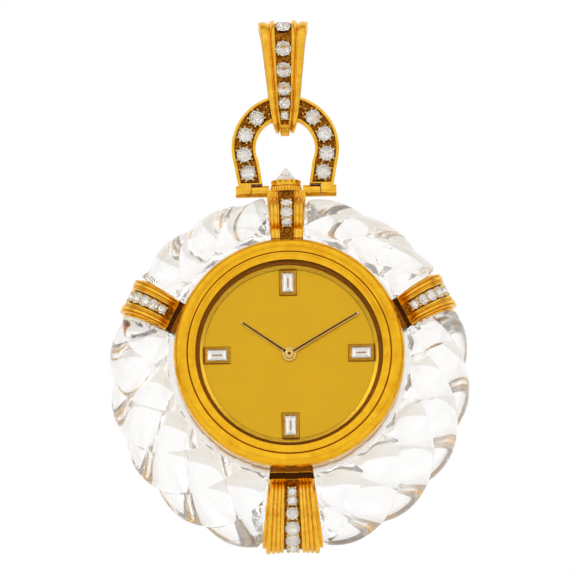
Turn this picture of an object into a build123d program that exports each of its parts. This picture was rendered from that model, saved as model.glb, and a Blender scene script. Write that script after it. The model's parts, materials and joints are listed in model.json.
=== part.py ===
from build123d import *
import os
from math import atan2, cos, hypot, pi, radians, sin, sqrt

# Pendant watch: a round yellow metal watch inside a carved rock crystal ring, held by four gem-set
# straps, with a crown on top, a hinged horseshoe link and a tapering bail.
#
# Sizes are millimetres and degrees. The watch is drawn facing the viewer, with x to the right, y up
# and z towards the viewer, about the middle of the dial. It is saved with the dial facing -Y, +Z up
# and the origin in the eye of the bail, where the chain runs.

# Clearances
running_gap = 0.05
seat_gap = 0.1
strap_gap = 0.2
overrun = 1.0

# Crystal ring: eighteen carved lobes that wind round an eccentric ring
crystal_radius = 25.4
crystal_drop = 2.4
crystal_half_thickness = 4.5
crystal_bore_radius = 15.95
lobe_foot_radius = 17.1
lobe_count = 18
first_groove_angle = 1.4
lobe_twist = 30
lobe_end_angle = 150
groove_depth = 1.1
lobe_step_count = 12
lobe_strip_shares = (1.0, 0.3, 0.0, 0.3)

# Case, glass and dial
bezel_radius = 16.2
bezel_crest_radius = 15.2
bezel_groove_radius = 14.25
bezel_opening_radius = 13.15
bezel_crest = 5.5
bezel_shoulder = 4.5
bezel_groove_floor = 4.95
bezel_slope_top = 5.25
bezel_lip = 0.28
groove_width = 0.1
glass_radius = 14.0
glass_thickness = 0.8
glass_front = 4.7
bezel_inner_radius = 14.35
rehaut_opening_radius = 12.0
dial_radius = 14.2
dial_thickness = 0.4
dial_front = 3.0
case_outer_radius = 15.8
case_inner_radius = 14.6
back_crest_radius = 15.0
back_face = -5.0
back_wall = 0.9
gasket_width = 0.4
gasket_thickness = 0.3
gasket_radius = 15.2

# Hour markers: long baguette stones in raised frames
marker_radius = 10.1
marker_length = 3.55
marker_width = 2.35
marker_stone_length = 2.75
marker_stone_width = 1.55
marker_height = 0.4
marker_floor = 0.12
marker_table_share = 0.62

# Hands and motion work
hand_thickness = 0.15
hand_width = 0.38
hand_tip_width = 0.3
minute_hand_length = 11.4
hour_hand_length = 8.2
minute_angle = 60
hour_angle = 305
hour_hub_radius = 1.05
minute_hub_radius = 0.68
hour_hand_back = 3.2
minute_hand_back = 3.54
hand_cap_height = 0.1
hour_tube_radius = 0.78
cannon_radius = 0.5
arbor_radius = 0.22
post_radius = 0.18
wheel_thickness = 0.2
cannon_teeth = 12
minute_wheel_teeth = 36
minute_pinion_teeth = 10
hour_wheel_teeth = 40
motion_module = 0.12
motion_floor = 1.5
motion_recess_radius = 2.75
minute_wheel_angle = -50
hour_wheel_back = 2.08

# Movement
plate_radius = 10.4
plate_back = -0.8
holder_inner_radius = 10.5
holder_radius = 14.25
holder_back = -1.9
bridge_back = -3.1
bridge_thickness = 0.8
bridge_radius = 10.1
bridge_foot_width = 1.4
bridge_bays = {"barrel_bridge": (62, 196), "train_bridge": (200, 318), "balance_cock": (322, 382)}
screw_radius = 0.35
screw_head_radius = 0.65
screw_head_height = 0.3
screw_slot_width = 0.16
screw_ring_radius = 9.35
screw_angles = (72, 186, 210, 308, 332, 372)
jewel_radius = 0.6
jewel_hole_radius = 0.25
jewel_places = ((-4.0, 2.3), (0.7, -3.9), (-4.6, -5.2), (5.5, 1.6))

# Stem, pendant tube and crown
stem_radius = 0.4
stem_foot = 4.6
tube_radius = 1.0
tube_top = 23.35
tube_foot = 14.7
gasket_seat_radius = 0.78
crown_gasket_height = 0.55
crown_radius = 2.22
crown_base = 23.45
crown_disc_height = 0.8
crown_flutes = 18
flute_depth = 0.16
collar_radius = 2.12
collar_top = 25.1
claw_notch_width = 0.55
claw_notch_count = 6
claw_notch_depth = 0.45
crown_stone_diameter = 3.3
crown_stone_rise = 2.05
crown_pocket_radius = 2.35

# Straps over the crystal ring
strap_sink = 1.1
strap_floor = 0.45
ridge_height = 0.95
strap_end_angle = 134
strap_turns = (134, 112, 90, 64, 40, 19, 0, -19, -40, -64, -90, -112, -134)
strap_root = 0.5
stone_sink = 0.25
# Half of a strap's section from the outer flange to the channel, as (share of the wall, height)
strap_profile = ((1, 0), (1, 0.25), (0.86, 0.25), (0.84, 0.85), (0.78, 1.1), (0.62, 1.1), (0.54, 0.75),
                 (0.47, 1.02), (0.32, 1.02), (0.25, 0.72), (0.19, ridge_height), (0, ridge_height))
side_strap = {"widths": (4.2, 5.9), "channels": (1.7, 2.05),
              "stones": ((20, 1.75), (46, 1.75), (70, 1.7), (93, 1.55), (117, 1.35))}
straps = {
    "top": {"angle": 90, "widths": (4.4, 5.5), "channels": (1.85, 2.3),
            "stones": ((50, 1.76), (86, 1.8), (116, 1.55))},
    "left": {"angle": 153, **side_strap},
    "right": {"angle": 27, **side_strap},
    "bottom": {"angle": 270, "widths": (5.9, 8.8), "channels": (1.7, 2.7),
               "stones": ((12, 2.0), (38, 2.07), (61, 2.07), (84, 1.76), (104, 1.5), (119, 1.4))},
}

# Hinge and horseshoe link
hinge_height = 23.7
knuckle_radius = 0.85
pin_radius = 0.35
inner_knuckle_start = 2.4
knuckle_split = 4.9
outer_knuckle_end = 7.1
lug_inner = 1.9
lug_outer = 2.75
lug_base = 22.3
crown_seat_width = 4.6
crown_seat_depth = 3.8
crown_seat_base = 22.2
link_centre_height = 29.8
link_outer_radius = 7.6
link_inner_radius = 4.2
link_thickness = 1.6
link_rim_width = 0.5
link_recess_depth = 0.4
link_foot_outer = 6.75
link_foot_inner = 3.3
link_foot_height = 24.65
link_outer_tangent = -15
link_inner_tangent = -25
link_stone_diameter = 2.15
link_stone_angles = (47.3, 19.2, -8.8)
link_low_stone = (5.33, 26.3)

# Bail
eye_height = 44.9
eye_radius = 2.4
bail_foot_radius = 1.9
bail_floor = 33.3
bail_half_widths = (1.3, 1.55, 1.85, 2.05, 3.05, 3.2, 3.35, 3.5, 3.55)
bail_channels = (0.9, 1.1, 1.3, 1.7, 2.3, 2.4, 2.45, 2.55, 2.6)
bail_scales = (1.79, 1.4, 1.05, 1.0, 1.0, 1.0, 1.0, 1.0, 1.0)
bail_foot_turns = (-90, -60, -30, 0)
bail_eye_turns = (0, 22.5, 45, 67.5, 90)
bail_closed_turn = -60
bail_closed_floor = 0.82
# Half of the bail's section from its outer edge to the channel, as (share of the wall, height)
bail_profile = ((1, 0), (1, 0.4), (0.92, 0.62), (0.74, 0.72), (0.56, 0.62), (0.47, 0.42), (0.4, 0.52),
                (0.1, ridge_height), (0, ridge_height))
bail_stones = ((34.1, 1.2), (35.85, 1.65), (37.9, 1.95), (40.6, 2.2), (43.65, 2.2))
bail_top_stone = (42, 2.1)

FACE = Plane(origin=(0, 0, -eye_height), x_dir=(1, 0, 0), z_dir=(0, -1, 0))
LOW = (Align.CENTER, Align.CENTER, Align.MIN)
full_turn = 360
half_turn = 180


# Building blocks


def save(name, *solids):
    """Write one node, turned from the drawing's frame into the saved one."""
    shape = solids[0] if len(solids) == 1 else Compound(list(solids))
    export_step(FACE.location * shape, f"parts/{name}.step")


def turned(*outline):
    """Turn a closed outline of (radius, depth) points about the axis of the dial."""
    return revolve(Plane.XZ * make_face(Polyline(*outline, close=True)), Axis.Z)


def rod(radius, back, front, place=(0, 0)):
    """A round rod along the depth of the watch."""
    return Pos(*place, back) * Cylinder(radius, front - back, align=LOW)


def pipe(radius, bore, back, front, place=(0, 0)):
    """A round tube along the depth of the watch."""
    return rod(radius, back, front, place) - rod(bore, back - overrun, front + overrun, place)


def upright(radius, bottom, top):
    """A round rod along the axis of the crown."""
    return Pos(0, bottom, 0) * Rot(-90, 0, 0) * Cylinder(radius, top - bottom, align=LOW)


def crossbar(radius, start, end, height):
    """A round rod along x, on the axis of the hinge."""
    return Pos(start, height, 0) * Rot(0, 90, 0) * Cylinder(radius, end - start, align=LOW)


def mirrored(ends, side):
    """A span along x on the right (side 1) or the left (side -1), in rising order."""
    return sorted(side * end for end in ends)


def ring_points(radius, height, count):
    """Evenly spaced points round a circle at one height."""
    turns = [full_turn * number / count for number in range(count)]
    return [Vector(radius * cos(radians(a)), radius * sin(radians(a)), height) for a in turns]


def faceted(*rings):
    """A closed solid through rings of points, each ring with as many points or a single one."""
    faces = [Face(Wire.make_polygon(ring)) for ring in (rings[0], rings[-1]) if len(ring) > 1]
    for lower, upper in zip(rings, rings[1:]):
        count = max(len(lower), len(upper))
        for number in range(count):
            following = (number + 1) % count
            corners = [lower[number % len(lower)], lower[following % len(lower)]]
            corners += [upper[following % len(upper)], upper[number % len(upper)]]
            distinct = [p for n, p in enumerate(corners) if (p - corners[n - 1]).length > 0]
            faces.append(Face(Wire.make_polygon(distinct)))
    return Solid(Shell(faces))


# Proportions of a round brilliant, as shares of its diameter
brilliant_table_share = 0.29
brilliant_crown_share = 0.16
brilliant_pavilion_share = 0.36
brilliant_sides = 8


def brilliant(diameter, pavilion=0.0):
    """A round stone with its girdle at zero and its table towards +z."""
    depth = pavilion or brilliant_pavilion_share * diameter
    girdle = ring_points(diameter / 2, 0, brilliant_sides)
    table = ring_points(brilliant_table_share * diameter, brilliant_crown_share * diameter, brilliant_sides)
    return faceted([Vector(0, 0, -depth)], girdle, table)


def stone_seat(diameter, drop, thickness):
    """The opening under a stone: drop is how far the floor lies below the girdle."""
    depth = brilliant_pavilion_share * diameter
    radius = (1 - drop / depth) * diameter / 2 + seat_gap
    bottom = -drop - thickness - overrun
    return faceted(ring_points(radius, bottom, brilliant_sides), ring_points(radius, 0, brilliant_sides))


def gear(teeth, pitch_radius, thickness, bore, slim_share=0.36):
    """A wheel or pinion with straight-sided teeth, one tooth centred on +x."""
    module = 2 * pitch_radius / teeth
    tip = pitch_radius + 0.8 * module
    root = pitch_radius - 1.1 * module
    pitch = full_turn / teeth
    outline = []
    for tooth in range(teeth):
        middle = tooth * pitch
        for radius, share in ((root, -1.0), (tip, -0.45), (tip, 0.45), (root, 1.0)):
            angle = radians(middle + share * slim_share * pitch)
            outline.append((radius * cos(angle), radius * sin(angle)))
    return extrude(make_face(Polyline(*outline, close=True)) - Circle(bore), thickness)


# Crystal ring


def crystal_section(direction):
    """Where the lobes begin and how far the section's centre and width reach, from the ring's centre."""
    rise = crystal_drop * sin(radians(direction))
    foot = rise + sqrt(rise ** 2 + lobe_foot_radius ** 2 - crystal_drop ** 2)
    return foot, (crystal_radius - foot) / (1 - cos(radians(lobe_end_angle)))


def lobe_point(direction, turn, sink):
    """A point of the carved surface: turn goes round the section, and sink is the depth of the groove."""
    angle = radians(direction + lobe_twist * turn / half_turn)
    foot = Vector(lobe_foot_radius * cos(angle), lobe_foot_radius * sin(angle))
    crest = Vector(crystal_radius * cos(angle), crystal_radius * sin(angle) - crystal_drop)
    end = cos(radians(lobe_end_angle))
    middle = foot + (crest - foot) * (-end / (1 - end))
    flat = foot + (crest - foot) * ((cos(radians(turn)) - end) / (1 - end))
    arm = Vector(flat.X - middle.X, flat.Y - middle.Y, crystal_half_thickness * sin(radians(turn)))
    fade = sqrt(1 - (abs(turn) / lobe_end_angle) ** 4)
    return middle + arm * (1 - sink * fade / arm.length)


def lobe_line(number):
    """One line along the carving, from the ledge behind, round the outside, to the ledge in front."""
    strips = len(lobe_strip_shares)
    direction = first_groove_angle + full_turn * number / (strips * lobe_count)
    sink = groove_depth * lobe_strip_shares[number % strips]
    turns = [lobe_end_angle * (2 * step / lobe_step_count - 1) for step in range(lobe_step_count + 1)]
    return [lobe_point(direction, turn, sink) for turn in turns]


def crystal_ring():
    """The carved torsade: ruled strips between neighbouring lines, two flat ledges and the bores."""
    points = [lobe_line(number) for number in range(len(lobe_strip_shares) * lobe_count)]
    lines = [Edge.make_spline(line) for line in points]
    faces = [Face.make_surface_from_curves(a, b) for a, b in zip(lines, lines[1:] + lines[:1])]
    faces += [Face(Wire.make_polygon([line[end] for line in points])) for end in (0, -1)]
    carved = Solid(Shell(faces))
    reach = crystal_half_thickness + overrun
    bored = carved - rod(crystal_bore_radius, -reach, reach)
    for strap in straps.values():
        bored -= strap_bed(strap["angle"], strap["widths"])
    return bored - upright(tube_radius + seat_gap, 0, crystal_radius)


# Case, glass and dial

ledge = crystal_half_thickness * sin(radians(lobe_end_angle))
case_front = ledge + seat_gap
glass_back = glass_front - glass_thickness
dial_back = dial_front - dial_thickness


def bezel():
    """Front ring: an outer roll, a fine groove and an inner slope down to the glass."""
    inner_groove = bezel_groove_radius - groove_width
    outer_groove = bezel_groove_radius + groove_width
    outline = Plane.XZ * make_face(
        Polyline((bezel_inner_radius, glass_front), (bezel_opening_radius, glass_front),
                 (bezel_opening_radius, glass_front + bezel_lip), (inner_groove, bezel_slope_top),
                 (bezel_groove_radius, bezel_groove_floor), (outer_groove, bezel_slope_top))
        + ThreePointArc((outer_groove, bezel_slope_top), (bezel_crest_radius, bezel_crest),
                        (bezel_radius, bezel_shoulder))
        + Polyline((bezel_radius, bezel_shoulder), (bezel_radius, case_front),
                   (bezel_inner_radius, case_front), (bezel_inner_radius, glass_front)))
    return revolve(outline, Axis.Z)


def case_middle():
    """The band inside the crystal's bore, with the hole for the pendant tube."""
    band = pipe(case_outer_radius, case_inner_radius, -case_front, case_front)
    return band - upright(tube_radius + running_gap, 0, bezel_radius)


def case_back():
    """The pressed-on back, with a flat face that can be engraved and a groove for its gasket."""
    floor = back_face + back_wall
    half_gasket = gasket_width / 2
    outline = Plane.XZ * make_face(
        Polyline((bezel_radius, -bezel_shoulder), (bezel_radius, -case_front),
                 (gasket_radius + half_gasket, -case_front),
                 (gasket_radius + half_gasket, -case_front - gasket_thickness),
                 (gasket_radius - half_gasket, -case_front - gasket_thickness),
                 (gasket_radius - half_gasket, -case_front), (bezel_inner_radius, -case_front),
                 (bezel_inner_radius, floor), (0, floor), (0, back_face), (back_crest_radius, back_face))
        + ThreePointArc((back_crest_radius, back_face),
                        (back_crest_radius + (bezel_radius - back_crest_radius) * sin(pi / 4),
                         -bezel_shoulder + (back_face + bezel_shoulder) * cos(pi / 4)),
                        (bezel_radius, -bezel_shoulder)))
    return revolve(outline, Axis.Z)


def case_back_gasket():
    """The square ring that seals the back."""
    half_gasket = gasket_width / 2 - running_gap
    return pipe(gasket_radius + half_gasket, gasket_radius - half_gasket, -case_front - gasket_thickness,
                -case_front)


def rehaut_ring():
    """The polished cone between the glass and the dial."""
    return turned((rehaut_opening_radius, dial_front), (bezel_opening_radius, glass_back),
                  (dial_radius, glass_back), (dial_radius, dial_front))


def dial():
    """The plain brushed dial, with its centre hole."""
    return pipe(dial_radius, hour_tube_radius + seat_gap, dial_back, dial_front)


def at_markers(piece):
    """Four copies of a piece, at twelve, three, six and nine."""
    quarter = full_turn // 4
    return [Rot(0, 0, turn) * Pos(marker_radius, 0, dial_front) * piece for turn in range(0, full_turn, quarter)]


def marker_settings():
    """Raised open frames that hold the baguettes."""
    frame = Box(marker_length, marker_width, marker_height, align=LOW)
    pocket = Box(marker_stone_length + running_gap, marker_stone_width + running_gap, marker_height, align=LOW)
    return at_markers(frame - Pos(0, 0, marker_floor) * pocket)


def marker_stones():
    """Step-cut baguettes with a flat table."""
    girdle = marker_height - marker_floor / 2
    half_length = marker_stone_length / 2
    half_width = marker_stone_width / 2

    def outline(share, height):
        corners = ((-1, -1), (1, -1), (1, 1), (-1, 1))
        inset = (1 - share) * half_width
        return [Vector(x * (half_length - inset), y * (half_width - inset), height) for x, y in corners]

    stone = faceted(outline(marker_table_share, marker_floor), outline(1, girdle),
                    outline(marker_table_share, girdle + marker_floor))
    return at_markers(stone)


# Hands and motion work

motion_distance = motion_module * (cannon_teeth + minute_wheel_teeth) / 2
hour_module = 2 * motion_distance / (minute_pinion_teeth + hour_wheel_teeth)
minute_wheel_place = (motion_distance * cos(radians(minute_wheel_angle)),
                      motion_distance * sin(radians(minute_wheel_angle)))
wheel_back = motion_floor + seat_gap


def hand(length, hub_radius, bore, back):
    """A straight baton hand, pointing at twelve."""
    baton = make_face(Polyline((-hand_width / 2, 0), (hand_width / 2, 0), (hand_tip_width / 2, length),
                               (-hand_tip_width / 2, length), close=True))
    return Pos(0, 0, back) * extrude(baton + Circle(hub_radius) - Circle(bore), hand_thickness)


def hour_hand():
    """The short hand, pressed on the tube of the hour wheel."""
    return Rot(0, 0, -hour_angle) * hand(hour_hand_length, hour_hub_radius, hour_tube_radius, hour_hand_back)


def minute_hand():
    """The long hand with its polished cap, pressed on the cannon pinion."""
    flat = hand(minute_hand_length, minute_hub_radius, cannon_radius, minute_hand_back)
    front = minute_hand_back + hand_thickness
    cap = rod(minute_hub_radius, front, front + hand_cap_height)
    return Rot(0, 0, -minute_angle) * (flat + cap)


def centre_arbor():
    """The arbor that carries the cannon pinion, pivoted in the train bridge."""
    return rod(arbor_radius, bridge_back, minute_hand_back)


def cannon_pinion():
    """The tube of the minute hand with its pinion leaves."""
    sleeve = pipe(cannon_radius, arbor_radius, wheel_back, minute_hand_back + hand_thickness)
    leaves = gear(cannon_teeth, motion_module * cannon_teeth / 2, 2 * wheel_thickness, arbor_radius)
    return sleeve + Pos(0, 0, wheel_back) * leaves


def hour_wheel():
    """The wheel and tube of the hour hand, turning on the cannon pinion."""
    bore = cannon_radius + running_gap
    wheel = gear(hour_wheel_teeth, hour_module * hour_wheel_teeth / 2, wheel_thickness, bore)
    sleeve = pipe(hour_tube_radius, bore, hour_wheel_back, hour_hand_back + hand_thickness)
    return Pos(0, 0, hour_wheel_back) * wheel + sleeve


def minute_wheel():
    """The wheel between the cannon pinion and the hour wheel, with its own pinion."""
    bore = post_radius + running_gap
    wheel = gear(minute_wheel_teeth, motion_module * minute_wheel_teeth / 2, wheel_thickness, bore)
    pinion = gear(minute_pinion_teeth, hour_module * minute_pinion_teeth / 2, hour_wheel_back - wheel_back, bore)
    half_pitch = half_turn / minute_wheel_teeth
    geared = Rot(0, 0, half_pitch) * wheel + Pos(0, 0, wheel_thickness) * pinion
    facing = minute_wheel_angle + half_turn
    return Pos(*minute_wheel_place, wheel_back) * Rot(0, 0, facing) * geared


# Movement


def main_plate():
    """The plate that carries the train, with the recess of the motion work and the bore of the stem."""
    front = dial_back - running_gap
    plate = rod(plate_radius, plate_back, front)
    plate -= rod(motion_recess_radius, motion_floor, front + overrun)
    plate -= rod(motion_recess_radius, motion_floor, front + overrun, minute_wheel_place)
    plate += rod(post_radius, motion_floor, front, minute_wheel_place)
    plate -= rod(arbor_radius + running_gap, plate_back - overrun, front + overrun)
    return plate - upright(stem_radius + running_gap, stem_foot - seat_gap, plate_radius + overrun)


def movement_holder():
    """The ring that centres the movement in the case and carries the dial."""
    ring = pipe(holder_radius, holder_inner_radius, holder_back, dial_back)
    return ring - upright(stem_radius + seat_gap, 0, case_outer_radius)


def sector(outer, inner, start, stop, back, front):
    """A slice of a ring between two angles."""
    pointer = Vector(outer, 0).rotate(Axis.Z, start)
    slice_line = Polyline((0, 0), tuple(pointer)[:2], close=False)
    pie = make_face(slice_line + CenterArc((0, 0), outer, start, stop - start)
                    + Line(tuple(Vector(outer, 0).rotate(Axis.Z, stop))[:2], (0, 0)))
    return Pos(0, 0, back) * extrude(pie - Circle(inner), front - back)


def bridge(name):
    """One bridge: a plate over its bay and a foot along the rim of the movement."""
    start, stop = bridge_bays[name]
    top = bridge_back + bridge_thickness
    plate = sector(bridge_radius, arbor_radius + running_gap, start, stop, bridge_back, top)
    foot = sector(bridge_radius, bridge_radius - bridge_foot_width, start, stop, top, plate_back)
    solid = plate + foot
    for place in jewel_places:
        solid -= rod(jewel_radius, bridge_back - overrun, top + overrun, place)
    for place in screw_places():
        solid -= rod(screw_radius, bridge_back - overrun, plate_back + overrun, place)
    return solid


def screw_places():
    """Where the bridge screws stand, round the rim of the movement."""
    return [(screw_ring_radius * cos(radians(a)), screw_ring_radius * sin(radians(a))) for a in screw_angles]


def movement_screws():
    """Slotted screws that hold the bridges down."""
    back = bridge_back - screw_head_height
    head = rod(screw_head_radius, back, bridge_back)
    slot = Pos(0, 0, back) * Box(2 * screw_head_radius, screw_slot_width, screw_head_height)
    screw = head - slot + rod(screw_radius - running_gap, bridge_back, plate_back)
    return [Pos(*place, 0) * screw for place in screw_places()]


def jewels():
    """Pierced bearing jewels pressed into the bridges."""
    top = bridge_back + bridge_thickness
    return [pipe(jewel_radius - running_gap / 2, jewel_hole_radius, bridge_back, top, p) for p in jewel_places]


# Stem and crown


def pendant_tube():
    """The tube that carries the stem through the crystal, with the seat of the crown gasket."""
    tube = upright(tube_radius, tube_foot, tube_top) - upright(stem_radius + running_gap, 0, tube_top + overrun)
    seat = tube_top - crown_gasket_height - seat_gap
    return tube - upright(gasket_seat_radius, seat, tube_top + overrun)


def crown_gasket():
    """The ring that seals the stem, and slides with it."""
    ring = upright(gasket_seat_radius - running_gap, tube_top - crown_gasket_height, tube_top)
    return ring - upright(stem_radius + running_gap, 0, tube_top + overrun)


def winding_stem():
    """The stem, from inside the crown to the winding work."""
    return upright(stem_radius, stem_foot, crown_base)


def crown_cap():
    """A fluted disc under a claw collar."""
    outline = []
    for flute in range(crown_flutes):
        for share, radius in ((0.0, crown_radius), (0.5, crown_radius), (0.6, crown_radius - flute_depth),
                              (0.9, crown_radius - flute_depth)):
            angle = radians(full_turn * (flute + share) / crown_flutes)
            outline.append((radius * cos(angle), radius * sin(angle)))
    disc = extrude(make_face(Polyline(*outline, close=True)), crown_disc_height)
    disc = Pos(0, crown_base, 0) * Rot(-90, 0, 0) * disc
    collar = upright(collar_radius, crown_base + crown_disc_height, collar_top)
    stone_radius = crown_stone_diameter / 2
    floor = collar_top - brilliant_crown_share * crown_stone_diameter - running_gap
    collar -= upright(stone_radius + running_gap, floor, collar_top + overrun)
    for notch in range(claw_notch_count):
        cutter = Box(2 * (crown_radius + overrun), 2 * claw_notch_depth, claw_notch_width)
        turn = half_turn * notch / claw_notch_count
        collar -= Pos(0, collar_top, 0) * Rot(0, turn, 0) * cutter
    return disc + collar


def crown_stone():
    """The large brilliant, set point up."""
    stone = brilliant(crown_stone_diameter, crown_stone_rise)
    return Pos(0, collar_top, 0) * Rot(90, 0, 0) * stone


# Straps over the crystal ring

stone_lift = ridge_height - stone_sink


def strap_frame(angle, turn):
    """A point under a strap, sunk below the crests of the lobes, and its outward normal."""
    foot, half_width = crystal_section(angle)
    reach = foot + half_width * (cos(radians(turn)) - cos(radians(lobe_end_angle)))
    depth = crystal_half_thickness * sin(radians(turn))
    across = cos(radians(turn)) / half_width
    along = sin(radians(turn)) / crystal_half_thickness
    size = hypot(across, along)
    normal = (across / size, along / size)
    return (reach - strap_sink * normal[0], depth - strap_sink * normal[1]), normal


def strap_bezel_reach(angle):
    """How far the side of the bezel lies from the ring's centre along a strap."""
    rise = crystal_drop * sin(radians(angle))
    return rise + sqrt(rise ** 2 + bezel_radius ** 2 - crystal_drop ** 2)


def strap_loft(angle, sizes, outline):
    """Loft a section along a strap's route: sizes are (at the bezel, outside) pairs for the section."""
    root = strap_bezel_reach(angle) - strap_root
    first_point, _ = strap_frame(angle, strap_end_angle)
    stations = [((root, first_point[1]), (0, 1))]
    stations += [strap_frame(angle, turn) for turn in strap_turns]
    stations += [((root, -first_point[1]), (0, -1))]
    outward = Vector(cos(radians(angle)), sin(radians(angle)))
    sideways = Vector(-outward.Y, outward.X)
    sections = []
    for (reach, depth), (rise_out, rise_front) in stations:
        share = (reach - root) / (crystal_radius - root)
        section = outline(*[inner + (outer - inner) * share for inner, outer in sizes])
        foot = Vector(0, -crystal_drop) + outward * reach + Vector(0, 0, depth)
        normal = outward * rise_out + Vector(0, 0, rise_front)
        sections.append(Wire.make_polygon([foot + sideways * x + normal * height for x, height in section]))
    return Solid.make_loft(sections, ruled=True)


def strap_bed(angle, widths):
    """The smooth channel that a strap lies in, cut across the lobes."""
    def outline(width):
        side = width / 2 + strap_gap
        rim = strap_sink + overrun
        return (side, -strap_gap), (side, rim), (-side, rim), (-side, -strap_gap)

    return strap_loft(angle, (widths,), outline)


def ribbed_outline(width, channel, profile, floor=strap_floor, scale=1.0):
    """A section as (across, height) points, from one side over the channel to the other."""
    wall = (width - channel) / 2
    right = [(channel / 2 + wall * share, height * scale) for share, height in profile + ((0, floor),)]
    return right + [(-across, height) for across, height in reversed(right)]


def strap_body(angle, widths, channels, stones):
    """The ribbed strap, from the side of the bezel, round the crystal, to the side of the back."""
    def outline(width, channel):
        return ribbed_outline(width, channel, strap_profile)

    reach = crystal_half_thickness + crystal_radius
    body = strap_loft(angle, (widths, channels), outline) - rod(bezel_radius + seat_gap, -reach, reach)
    for turn, diameter in stones:
        body -= strap_place(angle, turn) * stone_seat(diameter, stone_lift - strap_floor, strap_floor)
    return body


def strap_place(angle, turn):
    """Where the girdle of a stone lies over the channel, with its table outward."""
    (reach, depth), (rise_out, rise_front) = strap_frame(angle, turn)
    tilt = atan2(rise_out, rise_front) * half_turn / pi
    place = Pos(reach + stone_lift * rise_out, 0, depth + stone_lift * rise_front) * Rot(0, tilt, 0)
    return Pos(0, -crystal_drop, 0) * Rot(0, 0, angle) * place


def strap_stones(angle, stones):
    """The row of brilliants down the front channel."""
    return [strap_place(angle, turn) * brilliant(diameter) for turn, diameter in stones]


def top_strap(body):
    """The top strap also carries the fixed knuckles and the seat of the crown."""
    lug = Box(lug_outer - lug_inner, hinge_height - lug_base, 2 * knuckle_radius)
    body += Pos(0, (crown_seat_base + tube_top) / 2, 0) * Box(crown_seat_width, tube_top - crown_seat_base,
                                                             crown_seat_depth)
    for side in (-1, 1):
        knuckle = mirrored((inner_knuckle_start, knuckle_split - running_gap), side)
        body += crossbar(knuckle_radius, *knuckle, hinge_height)
        body += Pos(side * (lug_inner + lug_outer) / 2, (lug_base + hinge_height) / 2, 0) * lug
        bore = mirrored((inner_knuckle_start + seat_gap, knuckle_split + overrun), side)
        body -= crossbar(pin_radius + running_gap, *bore, hinge_height)
    body -= upright(crown_pocket_radius, tube_top, crown_base + crown_disc_height)
    return body - upright(tube_radius + running_gap, 0, crown_base)


# Hinge and horseshoe link


def link_half(radius, tangent, foot):
    """A horseshoe outline as a face: an arc over the top and two straight legs."""
    corner = (radius * cos(radians(tangent)), link_centre_height + radius * sin(radians(tangent)))
    mirrored = (-corner[0], corner[1])
    arc = ThreePointArc(corner, (0, link_centre_height + radius), mirrored)
    return make_face(arc + Polyline(mirrored, (-foot, link_foot_height), (foot, link_foot_height), corner))


def link_frame():
    """The horseshoe with raised rims round a sunk floor, and the two outer knuckles."""
    outer = link_half(link_outer_radius, link_outer_tangent, link_foot_outer)
    inner = link_half(link_inner_radius, link_inner_tangent, link_foot_inner)
    floor_outer = link_half(link_outer_radius - link_rim_width, link_outer_tangent,
                            link_foot_outer - link_rim_width)
    floor_inner = link_half(link_inner_radius + link_rim_width, link_inner_tangent,
                            link_foot_inner + link_rim_width)
    opening = Box(2 * link_foot_inner, link_rim_width, link_thickness + overrun)
    half_thickness = link_thickness / 2
    body = Pos(0, 0, -half_thickness) * extrude(outer - inner, link_thickness)
    body -= Pos(0, link_foot_height, 0) * opening
    recess = extrude(floor_outer - floor_inner, link_recess_depth)
    rim = Pos(0, link_foot_height, 0) * Box(2 * link_foot_outer, link_rim_width, 2 * link_thickness)
    body -= Pos(0, 0, half_thickness - link_recess_depth) * recess - rim
    for side in (-1, 1):
        body += crossbar(knuckle_radius, *mirrored((knuckle_split + running_gap, outer_knuckle_end), side),
                         hinge_height)
        post_width = link_foot_outer - knuckle_split - running_gap
        post_height = link_foot_height + running_gap - hinge_height
        post = Box(post_width, post_height, link_thickness, align=(Align.MIN, Align.MIN, Align.CENTER))
        left = knuckle_split + running_gap if side > 0 else -link_foot_outer
        body += Pos(left, hinge_height, 0) * post
        bore = mirrored((knuckle_split, outer_knuckle_end - seat_gap), side)
        body -= crossbar(pin_radius, *bore, hinge_height)
    seat = stone_seat(link_stone_diameter, link_recess_depth, link_thickness)
    for place in link_places():
        body -= place * seat
    return body


def link_places():
    """Where the girdles of the four stones on each side lie, level with the rims."""
    middle = (link_outer_radius + link_inner_radius) / 2
    places = [(middle * cos(radians(a)), link_centre_height + middle * sin(radians(a))) for a in link_stone_angles]
    places.append(link_low_stone)
    return [Pos(side * x, y, link_thickness / 2) for side in (-1, 1) for x, y in places]


def link_stones():
    """Four brilliants down each side of the horseshoe."""
    return [place * brilliant(link_stone_diameter) for place in link_places()]


def hinge_pins():
    """A short pin in each outer knuckle, running in the fixed knuckle."""
    ends = (inner_knuckle_start + 2 * seat_gap, outer_knuckle_end - seat_gap)
    return [crossbar(pin_radius, *mirrored(ends, side), hinge_height) for side in (-1, 1)]


# Bail

bail_foot_centre = bail_floor + bail_foot_radius


def bail_stations():
    """The inner line of the bail's front half, from its foot to the top of the eye."""
    stations = []
    for centre, radius, turns in ((bail_foot_centre, bail_foot_radius, bail_foot_turns),
                                  (eye_height, eye_radius, bail_eye_turns)):
        for turn in turns:
            up, front = sin(radians(turn)), cos(radians(turn))
            stations.append((Vector(0, centre + radius * up, radius * front), Vector(0, up, front)))
    return stations


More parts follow.
